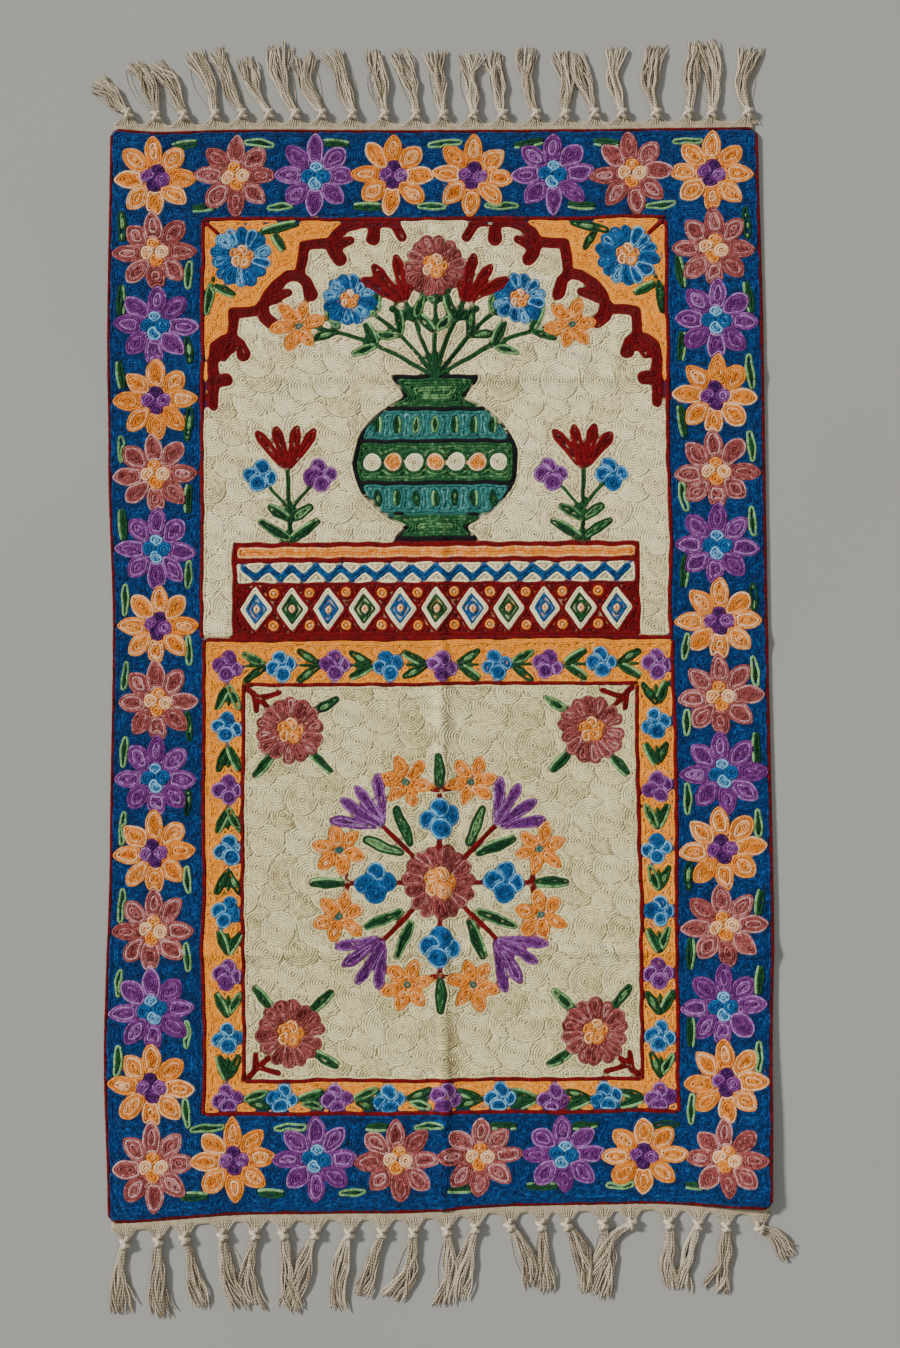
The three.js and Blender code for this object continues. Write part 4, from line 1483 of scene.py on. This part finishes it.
def tassel(yarn, knot_x, knot_out, lean, reach):
    """Yarns gathered out of the strip into a knot, and fanned out over the floor beyond it."""
    slant = math.radians(lean)
    ahead_x, ahead_out = math.sin(slant), math.cos(slant)

    def from_knot(along, across):
        """The place that lies along the tassel from the knot, and across it."""
        return (knot_x + along * ahead_x + across * ahead_out,
                knot_out + along * ahead_out - across * ahead_x)

    t = np.linspace(0, 1, 5)
    for spread in np.linspace(-1, 1, FAN_YARNS):
        # The fan between the strip and the knot
        foot = knot_x + spread * FAN_FOOT + rng.uniform(-0.8, 0.8)
        x = foot + (knot_x + spread * FAN_HEAD - foot) * t**0.8
        out = FAN_OUT + abs(spread) + (knot_out - FAN_OUT) * t
        z = FAN_Z + (KNOT_Z - FAN_Z) * t**1.6 + 0.6 * (1 - abs(spread)) * t
        yarn(x, out, z, FAN_YARN, rng.uniform(0.2, 0.6), cut=False)
    turn = np.linspace(0, 2 * math.pi, 13)
    for wrap, (forward, tilt, size) in enumerate(KNOT_LOOPS):
        # The knot: loops that pass over and round the gathered yarns
        lie = slant + math.radians(tilt)
        aside = size * np.cos(turn)
        x = knot_x + ahead_x * forward + aside * math.cos(lie)
        out = knot_out + ahead_out * forward - aside * math.sin(lie)
        z = np.maximum(2.2, KNOT_Z + 0.5 + 0.7 * size * np.sin(turn))
        yarn(x, out, z, KNOT_YARN, 0.4 + 0.15 * (wrap % 2), cut=False)
    # Below the knot the yarns lie in loose bundles, which sway apart and fray at the end
    bow = rng.uniform(-8, 8)
    width = rng.uniform(7.0, 11.5)
    t = np.linspace(0, 1, 19)
    falling = (KNOT_Z - 1.0) * np.maximum(0, 1 - t * 4)
    flatter = 1 - 0.45 * np.maximum(0, t - 0.6) / 0.4
    for bundle in range(BUNDLES):
        spread = (bundle + 0.5) / BUNDLES * 2 - 1 + rng.uniform(-0.12, 0.12)
        sway, phase, bend = rng.uniform(1.2, 4.0), rng.uniform(0, 6.28), rng.uniform(4, 9)
        twist = rng.uniform(-5, 5)
        over = rng.uniform(0, 1.4)
        fullness = rng.uniform(1.5, 2.1)
        middle = (spread * (2.0 + (width - 2.0) * t**0.8) + bow * np.sin(math.pi * t)
                  + sway * np.minimum(1, 2 * t) * np.sin(phase + bend * t))
        for i in range(YARNS):
            length = reach * (1 + rng.uniform(-0.1, 0.05))
            # The yarns wind round their bundle's middle, wider where it opens out
            wind = 2 * math.pi * i / YARNS + twist * t + rng.uniform(-0.5, 0.5)
            around = fullness * (0.75 + 0.55 * t) * (0.55 if i == 0 else 1.0)
            fray = rng.normal(0, 2.2) * np.maximum(0, t - 0.62) * 3.2
            own = rng.uniform(0.2, 0.8) * np.sin(rng.uniform(0, 6.28) + t * rng.uniform(12, 26))
            across = middle + around * np.cos(wind) + fray + own
            z = YARN + (around * (1 + np.sin(wind)) * 0.8 + over * np.sin(math.pi * t)) * flatter
            yarn(*from_knot(t * length, across), z + falling, YARN * rng.uniform(0.8, 1.15),
                 rng.uniform(0.0, 0.6))
    t = np.linspace(0, 1, 9)
    for _ in range(STRAYS):
        swing = rng.uniform(-13, 13)
        along = t * reach * rng.uniform(0.6, 1.06)
        across = swing * np.sin(t * 2.4) + rng.uniform(-5, 5) * t
        yarn(*from_knot(along, across), 3.6 - 3.2 * np.minimum(1, t * 4), STRAY, 0.5)


def fringe_strip(place, end, strip_cotton):
    """The bare edge of the canvas, scalloped where the fans draw it out."""
    bm = bmesh.new()
    bmesh.ops.create_grid(bm, x_segments=STRIP_COLUMNS, y_segments=STRIP_LINES, size=0.5)
    along, inward = np.array([vert.co[:2] for vert in bm.verts]).T
    x = along * 2 * STRIP_HALF
    knots = np.array([row[0] for row in TASSELS[end]])
    away = np.abs(x[:, None] - knots).min(1)
    drawn = smooth(1 - away / SCALLOP)**SCALLOP_CURVE
    reach = STRIP_DEPTH - STRIP_TUCK + (KNOT_OUT[end] - STRIP_DEPTH - SCALLOP_SHORT) * drawn
    out = -STRIP_TUCK + (reach + STRIP_TUCK) * (inward + 0.5)
    ripple = 0.35 * np.sin(x * 0.31 + 1.7) * (inward + 0.5) + 0.2 * np.sin(x * 0.83)
    for vert, spot in zip(bm.verts, place(x, out, STRIP_Z + np.maximum(ripple, -0.3))):
        vert.co = spot
    bmesh.ops.recalc_face_normals(bm, faces=bm.faces)
    if sum(face.normal.z for face in bm.faces) < 0:
        bmesh.ops.reverse_faces(bm, faces=bm.faces)
    mesh = bpy.data.meshes.new("strip")
    bm.to_mesh(mesh)
    bm.free()
    lay_flat_uv(mesh)
    strip = piece(f"fringe_strip_{ENDS[end][0]}", mesh, [strip_cotton])
    thicken = strip.modifiers.new("Thickness", "SOLIDIFY")
    thicken.thickness = STRIP_THICKNESS * MM
    thicken.offset = -1
    return strip


# The photograph's view, in the row frame: millimetres, and degrees
CAMERA_PLACE = (11.354, -137.402, 1938.894)
CAMERA_TURN = (3.7089, -0.0454, -0.3464)
FOCAL, FILM = 50, 36
# Soft daylight from a window on the left, and a weak fill from the right: where each comes from, how
# many degrees of the sky it fills, and its power
LIGHTS = {
    "window": ((-2.4, 1.1, 1.65), 8, 5.0),
    "fill": ((1.2, -0.6, 3.2), 60, 0.45),
}
STUDIO_LIGHT, STUDIO_POWER = "EEF0F2", 0.42
FLOOR_PAINT = ("908D85", "999791")
FLOOR_CLOUD = 0.6           # metres across a cloud in the paint
FLOOR_SIZE = 30             # metres each way, so that its edge never shows
FLOOR_DROP = 0.0002         # metres under the mat


def camera_and_light():
    """The photograph's camera, over the mat on its plain floor, in soft studio light."""
    lens = bpy.data.cameras.new("camera")
    lens.lens = FOCAL
    lens.sensor_fit = "AUTO"
    lens.sensor_width = FILM
    camera = in_scene("camera", lens)
    x, y, z = (value * MM for value in CAMERA_PLACE)
    camera.location = (x + ORIGIN[0], y + ORIGIN[1], z)
    camera.rotation_euler = Euler([math.radians(angle) for angle in CAMERA_TURN])
    bpy.context.scene.camera = camera
    for name, (place, softness, power) in LIGHTS.items():
        light = bpy.data.lights.new(name, "SUN")
        light.angle = math.radians(softness)
        light.energy = power
        lamp = in_scene(name, light)
        lamp.location = place
        lamp.rotation_euler = (-Vector(place)).to_track_quat("-Z", "Y").to_euler()
    world = bpy.data.worlds.new("studio")
    world.use_nodes = True
    background = world.node_tree.nodes["Background"]
    background.inputs["Color"].default_value = linear(STUDIO_LIGHT)
    background.inputs["Strength"].default_value = STUDIO_POWER
    bpy.context.scene.world = world
    bm = bmesh.new()
    bmesh.ops.create_grid(bm, x_segments=2, y_segments=2, size=FLOOR_SIZE)
    mesh = bpy.data.meshes.new("floor")
    bm.to_mesh(mesh)
    bm.free()
    mesh.materials.append(pale_floor())
    floor = in_scene("floor", mesh)
    floor.location = (0, 0, -FLOOR_DROP)


camera_and_light()
design = embroider()
stitches = embroidery(design)
cottons = (plied_cotton("knotted_cotton_yarn", YARN_COTTON),
           woven_cotton("drawn_out_canvas", COTTON, DRAWN_THREAD))
fringes = fringe("niche", *cottons) + fringe("foot", *cottons)
cloth(design, stitches + fringes)
